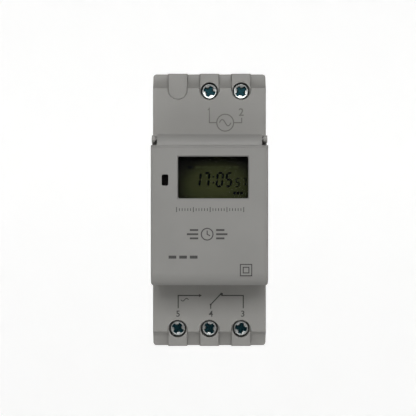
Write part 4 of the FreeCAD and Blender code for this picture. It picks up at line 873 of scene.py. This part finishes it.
FLOOR_Z = -0.35
ROOM_MIDDLE = -1.3           # depth of the room's middle
ROOM_HALF_X = 2.6
ROOM_HALF_Y = 2.3
ROOM_HEIGHT = 2.4
SWEEP_R = 0.4
GLOW_START = 0.72            # reach at which the glow begins
GLOW_RUN = 0.22              # reach over which it grows to its full share
BACKDROP_GLOW = 0.43
WORLD_GLOW = 0.02


def backdrop():
    """A pale floor that sweeps up into a wall all round, brightest behind the part.

    Plan: |x / ROOM_HALF_X|^4 + |(y - ROOM_MIDDLE) / ROOM_HALF_Y|^4 = reach^4. Profile: reach and height run
    flat across the floor, round a quarter circle and straight up. The attribute glow grows with the
    reach past the floor's edge, times a share that rises from the front wall to the back wall.
    """
    turn = np.linspace(0, math.pi / 2, 16)
    inner = 1 - SWEEP_R / ROOM_HALF_Y
    reach = np.concatenate([[0.02, 0.3, 0.55, 0.7], inner + (1 - inner) * np.sin(turn), [1.0]])
    height = np.concatenate([np.full(4, FLOOR_Z), FLOOR_Z + SWEEP_R * (1 - np.cos(turn)), [ROOM_HEIGHT]])
    angle = np.linspace(0, 2 * math.pi, 128, endpoint=False)
    ring = (np.cos(angle) ** 4 + np.sin(angle) ** 4) ** -0.25
    across = np.outer(reach, ring * np.cos(angle)) * ROOM_HALF_X
    deep = ROOM_MIDDLE + np.outer(reach, ring * np.sin(angle)) * ROOM_HALF_Y
    grid = np.stack([across, deep, np.repeat(height[:, None], len(angle), axis=1)], axis=-1)
    index, quads = row_quads(*grid.shape[:2])
    faces = [tuple(reversed(quad)) for quad in quads] + [tuple(index[0].tolist())]
    mesh = bpy.data.meshes.new("backdrop")
    mesh.from_pydata(grid.reshape(-1, 3).tolist(), [], faces)
    mesh.shade_smooth()
    past_floor = np.clip((reach - GLOW_START) / GLOW_RUN, 0, 1)
    share = np.interp(ring * np.sin(angle), [-1.0, 0.0, 0.9], [0.03, 0.2, 1.0])
    glow = mesh.attributes.new("glow", "FLOAT", "POINT")
    glow.data.foreach_set("value", np.outer(past_floor, share).reshape(-1))
    sheet = bpy.data.objects.new("backdrop", mesh)
    bpy.context.scene.collection.objects.link(sheet)
    material, tree, shader = new_material("backdrop_paper")
    fibre = speckle(tree, 0.02, 3.0)
    tree.links.new(shades(tree, fibre, [(0.3, (0.86, 0.86, 0.855)), (0.7, (0.88, 0.88, 0.875))]),
                   shader.inputs["Base Color"])
    shader.inputs["Roughness"].default_value = 0.9
    shader.inputs["Specular IOR Level"].default_value = 0.1
    light = tree.nodes.new("ShaderNodeAttribute")
    light.attribute_name = "glow"
    shader.inputs["Emission Color"].default_value = (1.0, 1.0, 1.0, 1.0)
    tree.links.new(span(tree, light.outputs["Fac"], 0.0, BACKDROP_GLOW), shader.inputs["Emission Strength"])
    mesh.materials.append(material)


def soft_light(name, place, width, height, power):
    """A rectangular soft box that looks at the frame's origin."""
    lamp = bpy.data.lights.new(name, "AREA")
    lamp.shape = "RECTANGLE"
    lamp.size = width
    lamp.size_y = height
    lamp.energy = power
    holder = bpy.data.objects.new(name, lamp)
    bpy.context.scene.collection.objects.link(holder)
    holder.location = place
    away = np.array(place) / np.linalg.norm(place)
    holder.rotation_euler = (math.acos(away[2]), 0, math.atan2(away[0], -away[1]))


SOFT_BOXES = (               # name, place, width, height and watts
    ("front_softbox", (0.0, -1.205, 0.487), 1.0, 0.46, 8.8),
    ("high_softbox", (0.0, -0.836, 0.996), 1.0, 0.6, 2.5),
    ("left_softbox", (-1.065, -0.743, 0.113), 0.7, 0.8, 1.0),
    ("right_softbox", (1.065, -0.743, 0.113), 0.7, 0.8, 0.8),
)

backdrop()
for soft_box in SOFT_BOXES:
    soft_light(*soft_box)

world = bpy.data.worlds.new("studio_air")
world.use_nodes = True
world.node_tree.nodes["Background"].inputs["Color"].default_value = (1.0, 0.995, 0.985, 1.0)
world.node_tree.nodes["Background"].inputs["Strength"].default_value = WORLD_GLOW
bpy.context.scene.world = world
bpy.context.scene.view_settings.view_transform = "Standard"

camera_data = bpy.data.cameras.new("camera")
camera_data.lens = 122.0
camera_data.sensor_width = 36.0
camera_data.clip_start = 0.01
camera = bpy.data.objects.new("camera", camera_data)
bpy.context.scene.collection.objects.link(camera)
camera.location = (-0.00045, -0.484, 0.00058)
camera.rotation_euler = (math.radians(90), 0, 0)
bpy.context.scene.camera = camera
